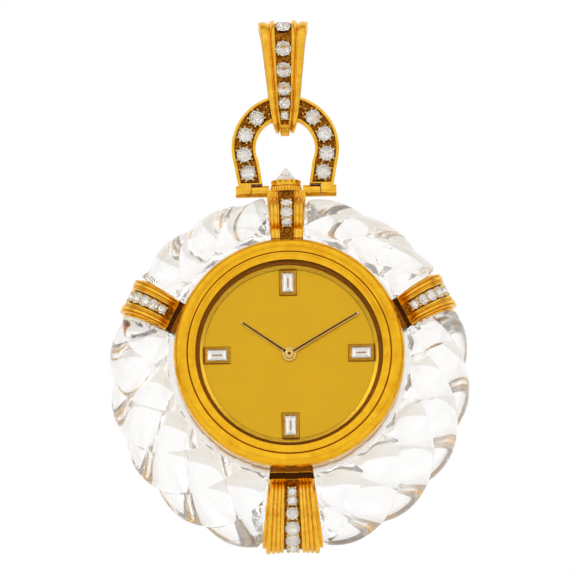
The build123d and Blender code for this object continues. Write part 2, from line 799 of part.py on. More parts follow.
def bail_strap():
    """The tapering loop: its front half with the stone seats, and the same form behind it."""
    sections = []
    turns = bail_foot_turns + bail_eye_turns
    for (foot, normal), turn, half_width, channel, scale in zip(bail_stations(), turns, bail_half_widths,
                                                                bail_channels, bail_scales):
        floor = bail_closed_floor if turn <= bail_closed_turn else strap_floor
        outline = ribbed_outline(2 * half_width, channel, bail_profile, floor, scale)
        sections.append(Wire.make_polygon([foot + Vector(x, 0, 0) + normal * h for x, h in outline]))
    front = Solid.make_loft(sections, ruled=True)
    loop = front + mirror(front, Plane.XY)
    for place, diameter in bail_places():
        loop -= place * stone_seat(diameter, stone_lift - strap_floor, strap_floor)
    return loop


def bail_places():
    """Where the girdles of the bail's stones lie, and their diameters."""
    rise = eye_height - bail_foot_centre
    spread = eye_radius - bail_foot_radius
    places = []
    for height, diameter in bail_stones:
        front = bail_foot_radius + spread * max(height - bail_foot_centre, 0) / rise + stone_lift
        places.append((Pos(0, height, front) * Rot(spread / rise * half_turn / pi, 0, 0), diameter))
    turn, diameter = bail_top_stone
    up = (eye_radius + stone_lift) * sin(radians(turn))
    front = (eye_radius + stone_lift) * cos(radians(turn))
    places.append((Pos(0, eye_height + up, front) * Rot(-turn, 0, 0), diameter))
    return places


def bail_stone_row():
    """The brilliants of the bail, small at the foot and large at the top."""
    return [place * brilliant(diameter) for place, diameter in bail_places()]


# Save every node

os.makedirs("parts", exist_ok=True)

save("crystal_ring", crystal_ring())
save("bezel", bezel())
save("case_middle", case_middle())
save("case_back", case_back())
save("case_back_gasket", case_back_gasket())
save("watch_glass", rod(glass_radius, glass_back, glass_front))
save("glass_gasket", pipe(bezel_inner_radius - running_gap, glass_radius + running_gap, glass_back, glass_front))
save("rehaut_ring", rehaut_ring())
save("dial", dial())
save("marker_settings", *marker_settings())
save("marker_stones", *marker_stones())
save("hour_hand", hour_hand())
save("minute_hand", minute_hand())
save("centre_arbor", centre_arbor())
save("cannon_pinion", cannon_pinion())
save("hour_wheel", hour_wheel())
save("minute_wheel", minute_wheel())
save("main_plate", main_plate())
save("movement_holder", movement_holder())
for bay in bridge_bays:
    save(bay, bridge(bay))
save("movement_screws", *movement_screws())
save("bearing_jewels", *jewels())
save("pendant_tube", pendant_tube())
save("crown_gasket", crown_gasket())
save("winding_stem", winding_stem())
save("crown_cap", crown_cap())
save("crown_stone", crown_stone())
for side, strap in straps.items():
    body = strap_body(**strap)
    save(f"{side}_strap", top_strap(body) if side == "top" else body)
    save(f"{side}_strap_stones", *strap_stones(strap["angle"], strap["stones"]))
save("link_frame", link_frame())
save("link_stones", *link_stones())
save("hinge_pins", *hinge_pins())
save("bail_strap", bail_strap())
save("bail_stones", *bail_stone_row())
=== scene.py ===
"""Pendant watch: gold case in a carved rock crystal torsade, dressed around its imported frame."""
import json
import logging
from dataclasses import dataclass, field
from enum import Enum
from math import atan2, cos, pi, radians, sin, sqrt
from typing import Sequence

import bmesh
import bpy
from mathutils import Matrix, Vector

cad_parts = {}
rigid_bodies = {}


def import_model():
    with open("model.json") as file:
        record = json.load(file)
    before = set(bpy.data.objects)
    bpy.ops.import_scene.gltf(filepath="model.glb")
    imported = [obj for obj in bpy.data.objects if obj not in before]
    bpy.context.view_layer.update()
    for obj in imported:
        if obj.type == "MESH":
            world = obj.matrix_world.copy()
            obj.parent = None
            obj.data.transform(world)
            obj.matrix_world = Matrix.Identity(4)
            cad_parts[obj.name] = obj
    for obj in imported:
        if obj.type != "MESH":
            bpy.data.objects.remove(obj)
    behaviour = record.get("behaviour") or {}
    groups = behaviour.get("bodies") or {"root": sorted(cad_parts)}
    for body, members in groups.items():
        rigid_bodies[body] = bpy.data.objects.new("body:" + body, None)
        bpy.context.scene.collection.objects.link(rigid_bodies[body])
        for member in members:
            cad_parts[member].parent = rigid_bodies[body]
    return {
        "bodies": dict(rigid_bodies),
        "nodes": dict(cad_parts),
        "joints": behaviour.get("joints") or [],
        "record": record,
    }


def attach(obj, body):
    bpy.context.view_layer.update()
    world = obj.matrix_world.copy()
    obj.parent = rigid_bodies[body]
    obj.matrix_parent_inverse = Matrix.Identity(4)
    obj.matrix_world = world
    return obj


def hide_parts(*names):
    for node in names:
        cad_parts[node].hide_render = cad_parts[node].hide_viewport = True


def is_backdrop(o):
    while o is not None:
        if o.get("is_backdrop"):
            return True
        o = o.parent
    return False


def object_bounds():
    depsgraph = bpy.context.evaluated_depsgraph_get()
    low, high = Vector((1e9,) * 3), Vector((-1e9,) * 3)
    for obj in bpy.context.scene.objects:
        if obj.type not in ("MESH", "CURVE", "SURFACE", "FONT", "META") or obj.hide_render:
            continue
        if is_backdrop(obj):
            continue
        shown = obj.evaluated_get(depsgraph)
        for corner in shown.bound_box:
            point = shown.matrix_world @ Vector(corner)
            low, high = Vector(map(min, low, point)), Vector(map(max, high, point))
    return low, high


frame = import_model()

LOG = logging.getLogger("pendant_watch")
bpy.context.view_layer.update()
MM = 0.001
FULL_TURN = 360.0
HALF_TURN = 180.0
QUARTER_TURN = 90.0

# Sizes that several pieces share, in mm, with heights and depths from the middle of the dial.
EYE_HEIGHT = 44.9
HINGE_HEIGHT = 23.7
KNUCKLE_RADIUS = 0.85
BEZEL_RADIUS = 16.2
DIAL_FRONT = 3.0

# Edges that turn further than the angle stay crisp. Points nearer than the distance, in metres, are one.
SHARP_ANGLE = radians(32)
WELD_DISTANCE = 1e-7


class Body(Enum):
    """The moving bodies that pieces ride on."""

    BAIL = "bail"
    LINK = "link"
    HEAD = "head"
    CROWN = "crown"
    MINUTE = "minute_work"
    HOUR = "hour_work"


def linear(colour: str) -> tuple[float, float, float, float]:
    """Turn an sRGB hex colour into linear light.

    Args:
        colour: Six hex digits after a hash sign.

    Returns:
        Red, green, blue and an alpha of one.
    """
    channels = [int(colour[start:start + 2], 16) / 255 for start in (1, 3, 5)]
    light = [c / 12.92 if c <= 0.04045 else ((c + 0.055) / 1.055) ** 2.4 for c in channels]
    return (*light, 1.0)


def row(point: Vector) -> Vector:
    """Carry a drawing point into the row frame.

    Args:
        point: x to the right, y up and z towards the viewer, in mm from the middle of the dial.

    Returns:
        The same place in metres, with the dial facing -Y and the origin in the eye of the bail.
    """
    return Vector((point.x, -point.z, point.y - EYE_HEIGHT)) * MM


def polar(radius: float, angle: float, depth: float = 0.0) -> Vector:
    """A drawing point at a radius and an angle in degrees, anticlockwise from three o'clock."""
    return Vector((radius * cos(radians(angle)), radius * sin(radians(angle)), depth))


def ease(share: float) -> float:
    """A smooth step from 0 to 1."""
    clamped = min(max(share, 0.0), 1.0)
    return clamped * clamped * (3 - 2 * clamped)


def between(table: Sequence[tuple[float, float]], at: float) -> float:
    """Read a table of (place, value) pairs with straight lines between its rows.

    Args:
        table: Pairs in rising order of place.
        at: Where to read it.

    Returns:
        The value there, held level past both ends.
    """
    if at <= table[0][0]:
        return table[0][1]
    for (low, first), (high, second) in zip(table, table[1:]):
        if at <= high:
            return first + (second - first) * (at - low) / (high - low)
    return table[-1][1]


def fill_node(tree: bpy.types.NodeTree, node: bpy.types.Node, settings: dict | None = None,
              links: dict | None = None) -> bpy.types.Node:
    """Give one shader node its settings and incoming links.

    Args:
        tree: The node tree.
        node: The node.
        settings: Node attributes and input values, by name.
        links: Output sockets of other nodes, by the name or number of this node's input.

    Returns:
        The same node.
    """
    for name, value in (settings or {}).items():
        if hasattr(node, name):
            setattr(node, name, value)
        else:
            node.inputs[name].default_value = value
    for name, socket in (links or {}).items():
        tree.links.new(socket, node.inputs[name])
    return node


def add_node(tree: bpy.types.NodeTree, kind: str, settings: dict | None = None,
             links: dict | None = None) -> bpy.types.Node:
    """Add one shader node of a kind, with its settings and incoming links as for fill_node."""
    return fill_node(tree, tree.nodes.new(kind), settings, links)


def blend_colours(tree: bpy.types.NodeTree, factor: bpy.types.NodeSocket,
                  stops: Sequence[tuple[float, str]]) -> bpy.types.NodeSocket:
    """Blend colours by a pattern.

    Args:
        tree: The node tree.
        factor: The pattern, from 0 to 1.
        stops: Places from 0 to 1 and their sRGB colours, in rising order.

    Returns:
        The socket of the blended colour.
    """
    ramp = add_node(tree, "ShaderNodeValToRGB", {}, {"Fac": factor})
    elements = ramp.color_ramp.elements
    while len(elements) < len(stops):
        elements.new(1.0)
    for element, (position, colour) in zip(elements, stops):
        element.position = position
        element.color = linear(colour)
    return ramp.outputs["Color"]


def new_material(name: str) -> tuple[bpy.types.Material, bpy.types.NodeTree, bpy.types.Node,
                                     bpy.types.NodeSocket]:
    """Start a material with a Principled shader and object coordinates.

    Args:
        name: The material's name.

    Returns:
        The material, its node tree, the shader and the socket of object coordinates.
    """
    material = bpy.data.materials.new(name)
    material.use_nodes = True
    tree = material.node_tree
    shader = next(node for node in tree.nodes if node.type == "BSDF_PRINCIPLED")
    place = add_node(tree, "ShaderNodeTexCoord").outputs["Object"]
    return material, tree, shader, place


@dataclass(frozen=True)
class PolishedGold:
    """Eighteen carat yellow gold, buffed on a wheel.

    The eye gets deep warm reflections, a little softer in some places than in others, with faint wavy
    wiping marks. Real wiping marks are too fine to show, so these are drawn a millimetre or two apart.
    """

    name: str = "polished_yellow_gold"
    colour: str = "#ffc92e"
    worn_colour: str = "#e8a41d"
    roughness: tuple[float, float] = (0.14, 0.24)
    mark_spacing: float = 1.6
    mark_height: float = 0.006
    wear: tuple[float, float] = (0.26, 0.72)

    def build(self) -> bpy.types.Material:
        """Make the material: cloudy colour and sheen, and a very shallow wavy bump.

        Returns:
            The material.
        """
        material, tree, shader, place = new_material(self.name)
        scale = 1 / (self.mark_spacing * MM)
        cloud = add_node(tree, "ShaderNodeTexNoise", {"Scale": scale, "Detail": 8.0, "Roughness": 0.68},
                         {"Vector": place})
        colour = blend_colours(tree, cloud.outputs["Fac"],
                               tuple(zip(self.wear, (self.worn_colour, self.colour))))
        sheen = add_node(tree, "ShaderNodeMapRange",
                         {"To Min": self.roughness[0], "To Max": self.roughness[1]},
                         {"Value": cloud.outputs["Fac"]})
        waves = add_node(tree, "ShaderNodeTexNoise", {"Scale": scale / 2, "Detail": 2.0}, {"Vector": place})
        bump = add_node(tree, "ShaderNodeBump", {"Strength": 0.35, "Distance": self.mark_height * MM},
                        {"Height": waves.outputs["Fac"]})
        fill_node(tree, shader, {"Metallic": 1.0},
                  {"Base Color": colour, "Roughness": sheen.outputs["Result"],
                   "Normal": bump.outputs["Normal"]})
        return material


@dataclass(frozen=True)
class PunchedGold:
    """The gold floor between set stones, left rough by the graver, oxidised and painted darker for its shade.

    The eye gets small dark pits with brighter cut edges.
    """

    name: str = "punched_gold_oxide_and_shade"
    colour: str = "#5c2b08"
    bright_colour: str = "#b8741e"
    cut: tuple[float, float] = (0.25, 0.85)
    roughness: float = 0.34
    grain: float = 0.32
    grain_height: float = 0.07

    def build(self) -> bpy.types.Material:
        """Make the material: a cell pattern for the pits, in colour and in bump.

        Returns:
            The material.
        """
        material, tree, shader, place = new_material(self.name)
        pits = add_node(tree, "ShaderNodeTexVoronoi", {"Scale": 1 / (self.grain * MM)}, {"Vector": place})
        colour = blend_colours(tree, pits.outputs["Distance"],
                               tuple(zip(self.cut, (self.colour, self.bright_colour))))
        bump = add_node(tree, "ShaderNodeBump", {"Strength": 0.8, "Distance": self.grain_height * MM},
                        {"Height": pits.outputs["Distance"]})
        fill_node(tree, shader, {"Metallic": 1.0, "Roughness": self.roughness},
                  {"Base Color": colour, "Normal": bump.outputs["Normal"]})
        return material


@dataclass(frozen=True)
class BrushedMetal:
    """Metal drawn over fine abrasive.

    The eye gets parallel hairlines that spread the light to each side. Real hairlines are too fine to
    show, so these are drawn a tenth of a millimetre apart or more.
    """

    name: str
    colour: str
    line_colour: str
    roughness: tuple[float, float] = (0.3, 0.42)
    line_spacing: float = 0.12
    line_length: float = 6.0
    line_height: float = 0.002

    def build(self) -> bpy.types.Material:
        """Make the material: noise stretched along x for the hairlines.

        Returns:
            The material.
        """
        material, tree, shader, place = new_material(self.name)
        stretch = add_node(tree, "ShaderNodeMapping",
                           {"Scale": (self.line_spacing / self.line_length, 1.0, 1.0)}, {"Vector": place})
        lines = add_node(tree, "ShaderNodeTexNoise", {"Scale": 1 / (self.line_spacing * MM), "Detail": 3.0},
                         {"Vector": stretch.outputs["Vector"]})
        colour = blend_colours(tree, lines.outputs["Fac"], ((0.3, self.line_colour), (0.7, self.colour)))
        sheen = add_node(tree, "ShaderNodeMapRange",
                         {"To Min": self.roughness[0], "To Max": self.roughness[1]},
                         {"Value": lines.outputs["Fac"]})
        bump = add_node(tree, "ShaderNodeBump", {"Strength": 0.4, "Distance": self.line_height * MM},
                        {"Height": lines.outputs["Fac"]})
        fill_node(tree, shader, {"Metallic": 1.0},
                  {"Base Color": colour, "Roughness": sheen.outputs["Result"],
                   "Normal": bump.outputs["Normal"]})
        return material


@dataclass(frozen=True)
class ClearStone:
    """A transparent polished solid: rock crystal, flat glass or cut stones.

    The eye gets clear refraction. The crystal is also hazed a little by its hand polish, which the alpha
    share stands for: that part of the light goes straight through.
    """

    name: str
    ior: float
    colour: str = "#fdfdfc"
    cloud_colour: str = "#fbfbfa"
    solid_share: float = 1.0
    ripple_spacing: float = 3.0
    ripple_height: float = 0.0

    def build(self) -> bpy.types.Material:
        """Make the material: full transmission, with a faint cloud and a hand-polished ripple.

        Returns:
            The material.
        """
        material, tree, shader, place = new_material(self.name)
        cloud = add_node(tree, "ShaderNodeTexNoise",
                         {"Scale": 1 / (self.ripple_spacing * MM), "Detail": 2.0}, {"Vector": place})
        colour = blend_colours(tree, cloud.outputs["Fac"], ((0.3, self.cloud_colour), (0.7, self.colour)))
        fill_node(tree, shader,
                  {"Transmission Weight": 1.0, "IOR": self.ior, "Roughness": 0.0, "Alpha": self.solid_share},
                  {"Base Color": colour})
        if self.ripple_height:
            bump = add_node(tree, "ShaderNodeBump", {"Strength": 0.3, "Distance": self.ripple_height * MM},
                            {"Height": cloud.outputs["Fac"]})
            fill_node(tree, shader, {}, {"Normal": bump.outputs["Normal"]})
        return material


@dataclass(frozen=True)
class GroundStone:
    """Rock crystal left matt from the grinding wheel where it seats on metal.

    The eye gets a soft white veil. The grit's marks are drawn coarser than they are, so that they show.
    """

    name: str = "ground_rock_crystal"
    colour: str = "#ffffff"
    grain_colour: str = "#f6f5f2"
    roughness: float = 0.5
    clear_share: float = 0.8
    grain: float = 0.08
    grain_height: float = 0.004

    def build(self) -> bpy.types.Material:
        """Make the material: mostly matt white, with the fine grain of the abrasive.

        Returns:
            The material.
        """
        material, tree, shader, place = new_material(self.name)
        grain = add_node(tree, "ShaderNodeTexNoise", {"Scale": 1 / (self.grain * MM)}, {"Vector": place})
        colour = blend_colours(tree, grain.outputs["Fac"], ((0.3, self.grain_colour), (0.7, self.colour)))
        bump = add_node(tree, "ShaderNodeBump", {"Strength": 0.5, "Distance": self.grain_height * MM},
                        {"Height": grain.outputs["Fac"]})
        fill_node(tree, shader, {"Roughness": self.roughness, "Transmission Weight": self.clear_share},
                  {"Base Color": colour, "Normal": bump.outputs["Normal"]})
        return material


@dataclass(frozen=True)
class SealRubber:
    """Black moulded rubber of the gaskets: the eye gets a dull dark ring with a fine grain."""

    name: str = "black_seal_rubber"
    colour: str = "#151515"
    grain_colour: str = "#222222"
    roughness: float = 0.7
    grain: float = 0.1

    def build(self) -> bpy.types.Material:
        """Make the material: a grainy dark grey.

        Returns:
            The material.
        """
        material, tree, shader, place = new_material(self.name)
        grain = add_node(tree, "ShaderNodeTexNoise", {"Scale": 1 / (self.grain * MM)}, {"Vector": place})
        colour = blend_colours(tree, grain.outputs["Fac"], ((0.3, self.colour), (0.7, self.grain_colour)))
        fill_node(tree, shader, {"Roughness": self.roughness}, {"Base Color": colour})
        return material


class Finishes:
    """Every finish of the watch, built once."""

    def __init__(self) -> None:
        """Build the materials: golds, other metals, then clear stones and rubber."""
        # The bezel's gold is buffed bright. The ribs' gold is worked by hand and a little softer.
        self.gold = PolishedGold().build()
        self.worked = PolishedGold("worked_yellow_gold", "#ffd04c", "#eaa928", (0.16, 0.28), mark_spacing=1.1,
                                   mark_height=0.005, wear=(0.3, 0.66)).build()
        # Between the stones the gold is punched and oxidised, with painted shade. The strap's ends and heels
        # by the case, the rehaut's wall and undercut and the frames' roots are painted shade.
        self.punched = PunchedGold().build()
        self.deep = BrushedMetal("painted_shade_strap_root", "#5a2f0c", "#2c1408", (0.35, 0.5)).build()
        self.dark = BrushedMetal("painted_shade_gold_edge", "#9c6420", "#7c4712", (0.3, 0.45)).build()
        # The marker frames are a browner gold. The hands and grains take a paler copy of it as painted
        # highlight, and the hands' middle line and the bezel's groove a painted dark reflection and shade.
        self.frame_gold = PolishedGold("polished_marker_gold", "#c4912a", "#9c6d18").build()
        self.pale = PolishedGold("pale_gold_painted_highlight", "#f0cf80", "#deb458").build()
        self.black = BrushedMetal("painted_dark_reflection_gold", "#6e441a", "#4a2c10", (0.4, 0.55)).build()
        # The dial, the rehaut and the back are brushed. The seats under the stones are painted near white
        # for the light that the stones throw back.
        self.dial = BrushedMetal("satin_brushed_gold_dial", "#e4b32a", "#dcaa24").build()
        self.lip = BrushedMetal("turned_rehaut_gold", "#e6b738", "#bd8d20", (0.32, 0.44)).build()
        self.satin = BrushedMetal("satin_gold_back", "#f3be38", "#e0a52a", (0.24, 0.36), line_spacing=0.3,
                                  line_length=9.0).build()
        self.seat = BrushedMetal("painted_light_seat", "#f6f4f0", "#e9e6e0", (0.08, 0.2)).build()
        # The work inside is steel, nickel plate and gilt brass.
        self.steel = BrushedMetal("polished_steel", "#c4c4c8", "#a9a9ae", (0.18, 0.3)).build()
        self.nickel = BrushedMetal("nickel_plated_brass", "#cfc9bd", "#b8b1a2", (0.25, 0.4), line_spacing=0.3,
                                   line_length=1.5).build()
        self.gilt = BrushedMetal("gilt_brass", "#d9ab54", "#c4943c", (0.22, 0.35), line_spacing=0.2,
                                 line_length=0.8).build()
        # The coated glass bends light little, and part of the light goes straight through small stones.
        self.crystal = ClearStone("polished_rock_crystal", 1.544, "#ffffff", "#fcfbf9", solid_share=0.9,
                                  ripple_spacing=4.0, ripple_height=0.012).build()
        self.ground = GroundStone().build()
        self.glass = ClearStone("coated_watch_glass", 1.08).build()
        self.diamond = ClearStone("brilliant_cut_stone", 2.0, "#ffffff", "#fbfafd", solid_share=0.56).build()
        self.ruby = ClearStone("bearing_ruby", 1.76, "#c0203c", "#a81830").build()
        self.rubber = SealRubber().build()


@dataclass
class Draft:
    """A mesh being drawn in the drawing frame, in mm."""

    points: list[Vector] = field(default_factory=list)
    faces: list[tuple[int, ...]] = field(default_factory=list)

    def add(self, points: Sequence[Vector]) -> int:
        """Add points.

        Args:
            points: The points.

        Returns:
            The number of the first.
        """
        start = len(self.points)
        self.points.extend(points)
        return start

    def grid(self, rows: Sequence[Sequence[Vector]], close_rows: bool = False,
             close_columns: bool = True, caps: bool = False) -> None:
        """Join rows of points with quads.

        Args:
            rows: Rows with equally many points.
            close_rows: Whether the last row joins the first.
            close_columns: Whether each row closes on itself.
            caps: Whether the first and the last row are filled.
        """
        start = self.add([point for line in rows for point in line])
        width = len(rows[0])
        for line in range(len(rows) if close_rows else len(rows) - 1):
            low = start + line * width
            high = start + (line + 1) % len(rows) * width
            for column in range(width if close_columns else width - 1):
                following = (column + 1) % width
                self.faces.append((low + column, low + following, high + following, high + column))
        if caps:
            last = start + (len(rows) - 1) * width
            self.faces.append(tuple(start + n for n in reversed(range(width))))
            self.faces.append(tuple(last + n for n in range(width)))

    def lathe(self, outline: Sequence[tuple[float, float]], steps: int) -> None:
        """Turn a closed outline of (radius, depth) points about the axis of the dial."""
        self.grid([[polar(radius, FULL_TURN * n / steps, depth) for n in range(steps)]
                   for radius, depth in outline], close_rows=True)

    def made(self, name: str, material: bpy.types.Material, body: Body, replaced: Sequence[str] = (),
             slot: str = "gold", smooth: bool = True, bevel: float = 0.0) -> bpy.types.Object:
        """Turn the draft into a piece.

        Args:
            name: The piece's name.
            material: Its finish.
            body: The body that it rides on.
            replaced: The CAD nodes that it stands for.
            slot: The record's material slot; not used.
            smooth: Whether faces are shaded smooth between sharp edges.
            bevel: The width in mm of a small rounding of its edges, or 0.

        Returns:
            The new object.
        """
        mesh = bpy.data.meshes.new(name)
        mesh.from_pydata([row(point) for point in self.points], [], self.faces)
        shape = bmesh.new()
        shape.from_mesh(mesh)
        bmesh.ops.remove_doubles(shape, verts=shape.verts, dist=WELD_DISTANCE)
        bmesh.ops.recalc_face_normals(shape, faces=shape.faces)
        shape.to_mesh(mesh)
        shape.free()
        mesh.materials.append(material)
        piece = bpy.data.objects.new(name, mesh)
        bpy.context.scene.collection.objects.link(piece)
        if smooth:
            mesh.shade_smooth()
            mesh.set_sharp_from_angle(angle=SHARP_ANGLE)
        if bevel:
            rounding = piece.modifiers.new("edge_rounding", "BEVEL")
            rounding.width = bevel * MM
            rounding.segments = 2
            rounding.limit_method = "ANGLE"
            rounding.angle_limit = SHARP_ANGLE
            rounding.harden_normals = False
        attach(piece, body.value)
        if replaced:
            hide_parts(*replaced)
        LOG.info("%s: %d faces on %s", name, len(mesh.polygons), body.value)
        return piece


@dataclass(frozen=True)
class BrilliantCut:
    """A round brilliant: table, stars, kites, upper and lower girdle facets and pavilion mains.

    The shares of radii and heights are of the stone's diameter.
    """

    mains: int = 8
    table_share: float = 0.28
    star_share: float = 0.39
    crown_share: float = 0.15
    star_height_share: float = 0.085
    girdle_share: float = 0.02
    lower_share: float = 0.2
    lower_depth_share: float = 0.62
    pavilion_share: float = 0.36

    def draw(self, draft: Draft, place: Matrix, diameter: float, depth: float) -> None:
        """Draw one stone, with its girdle at the place's origin and its table along the place's z.

        Args:
            draft: The mesh that takes the facets.
            place: Where the stone lies.
            diameter: Its diameter in mm.
            depth: Its depth under the girdle in mm.
        """
        mains, girdles = self.mains, 2 * self.mains
        radius, girdle = diameter / 2, self.girdle_share * diameter / 2
        aside = HALF_TURN / mains
        rings = (
            self.ring(mains, self.table_share * diameter, self.crown_share * diameter, aside),
            self.ring(mains, self.star_share * diameter, self.star_height_share * diameter),
            self.ring(girdles, radius, girdle),
            self.ring(girdles, radius, -girdle),
            self.ring(mains, self.lower_share * diameter, -depth * self.lower_depth_share, aside),
            [Vector((0, 0, -depth))],
        )
        table, star, upper, lower, main, culet = (draft.add([place @ point for point in ring])
                                                  for ring in rings)
        draft.faces.append(tuple(table + n for n in range(mains)))
        for n in range(mains):
            after = (n + 1) % mains
            left, middle, right = 2 * n, 2 * n + 1, (2 * n + 2) % girdles
            draft.faces += [
                (table + n, star + after, table + after),
                (table + n, star + n, upper + middle, star + after),
                (star + n, upper + left, upper + middle),
                (star + after, upper + middle, upper + right),
                (lower + left, main + n, lower + middle),
                (lower + middle, main + n, lower + right),
                (lower + right, main + n, culet, main + after),
            ]
        for n in range(girdles):
            after = (n + 1) % girdles
            draft.faces.append((upper + n, upper + after, lower + after, lower + n))

    def ring(self, count: int, radius: float, height: float, first: float = 0.0) -> list[Vector]:
        """Evenly spaced points round a circle."""
        return [polar(radius, first + FULL_TURN * n / count, height) for n in range(count)]


CUT = BrilliantCut()


def draw_bead(draft: Draft, centre: Vector, radius: float) -> None:
    """Draw one small raised grain of gold.

    Args:
        draft: The mesh that takes it.
        centre: Its centre.
        radius: Its radius in mm.
    """
    steps = 10
    levels = steps // 2
    rows = []
    for level in range(1, levels):
        tilt = radians(HALF_TURN * level / levels - QUARTER_TURN)
        rows.append([centre + polar(radius * cos(tilt), FULL_TURN * n / steps, radius * sin(tilt))
                     for n in range(steps)])
    draft.grid(rows, caps=True)


def draw_box(draft: Draft, across: Sequence[float], up: Sequence[float], depth: Sequence[float]) -> None:
    """Draw a plain block between its two ends in each direction, given in any order.

    Args:
        draft: The mesh that takes it.
        across: Its ends along x.
        up: Its ends along y.
        depth: Its ends along z.
    """
    (left, right), (low, high), (back, front) = (sorted(ends) for ends in (across, up, depth))
    corners = ((left, back), (right, back), (right, front), (left, front))
    draft.grid([[Vector((x, y, z)) for x, z in corners] for y in (low, high)], caps=True)


def draw_bar(draft: Draft, ends: Sequence[float], height: float, radius: float,
             rounding: float = 0.06) -> None:
    """Draw a round bar along x with rounded rims.

    Args:
        draft: The mesh that takes it.
        ends: The places of its two ends along x, in any order.
        height: The height of its axis.
        radius: Its radius.
        rounding: The size of the rounded rim.
    """
    steps = 40
    start, end = sorted(ends)
    shoulder = rounding * 0.3
    stations = ((start, radius - rounding), (start + shoulder, radius - shoulder), (start + rounding, radius),
                (end - rounding, radius), (end - shoulder, radius - shoulder), (end, radius - rounding))
    rows = []
    for x, size in stations:
        rows.append([Vector((x, height + size * sin(2 * pi * n / steps), size * cos(2 * pi * n / steps)))
                     for n in range(steps)])
    draft.grid(rows, caps=True)


@dataclass
class StoneRow:
    """Brilliants with seats under them painted near white as thrown-back light, and raised grains that hold
    them.
    """

    bead: float
    bead_angles: tuple[float, ...]
    bead_gap: float
    bead_sink: float = 0.02
    seat_steps: int = 24
    seat_foot_share: float = 0.22
    stones: Draft = field(default_factory=Draft)
    seats: Draft = field(default_factory=Draft)
    grains: Draft = field(default_factory=Draft)

    def set_stone(self, place: Matrix, diameter: float, depth: float) -> None:
        """Draw one stone, its seat and its grains.

        Args:
            place: The stone's place, with x along the row and z out of the metal.
            diameter: Its diameter in mm.
            depth: Its depth under the girdle in mm.
        """
        CUT.draw(self.stones, place, diameter, depth)
        foot = diameter * self.seat_foot_share
        seat = ((diameter / 2 - 0.01, -0.05), (foot, -depth - 0.03), (foot * 0.1, -depth - 0.04))
        self.seats.grid([[place @ polar(radius, FULL_TURN * n / self.seat_steps, height)
                          for n in range(self.seat_steps)] for radius, height in seat])
        self.beads(place, diameter / 2 + self.bead_gap, self.bead_angles, self.bead, self.bead_sink)

    def beads(self, place: Matrix, distance: float, angles: Sequence[float], radius: float,
              sunk: float) -> None:
        """Draw raised grains round a place.

        Args:
            place: The place, with z out of the metal.
            distance: How far the grains stand from it.
            angles: Their directions in degrees.
            radius: Their radius in mm.
            sunk: How far their middles lie under the place.
        """
        for angle in angles:
            draw_bead(self.grains, place @ polar(distance, angle, -sunk), radius)

    def made(self, name: str, node: str, finishes: Finishes, body: Body) -> None:
        """Turn the drafts into pieces.

        Args:
            name: What the pieces' names begin with.
            node: The CAD node that the stones stand for.
            finishes: The finishes of the watch.
            body: The body that they ride on.
        """
        # The seats are painted near white for the light that the stones throw back.
        self.seats.made(f"{name}_seats", finishes.seat, body)
        self.stones.made(f"{name}_brilliants", finishes.diamond, body, (node,), "diamond", smooth=False)
        # The grains take the paler gold as a painted highlight.
        self.grains.made(f"{name}_grains", finishes.pale, body)


@dataclass(frozen=True)
class Bed:
    """Where a strap crosses the crystal: its direction, and its width by the bezel and at the rim."""

    angle: float
    inner: float
    outer: float


TOP_BED = Bed(90.0, 4.4, 5.5)
LEFT_BED = Bed(153.0, 4.2, 5.9)
RIGHT_BED = Bed(27.0, 4.2, 5.9)
BOTTOM_BED = Bed(270.0, 5.9, 8.8)


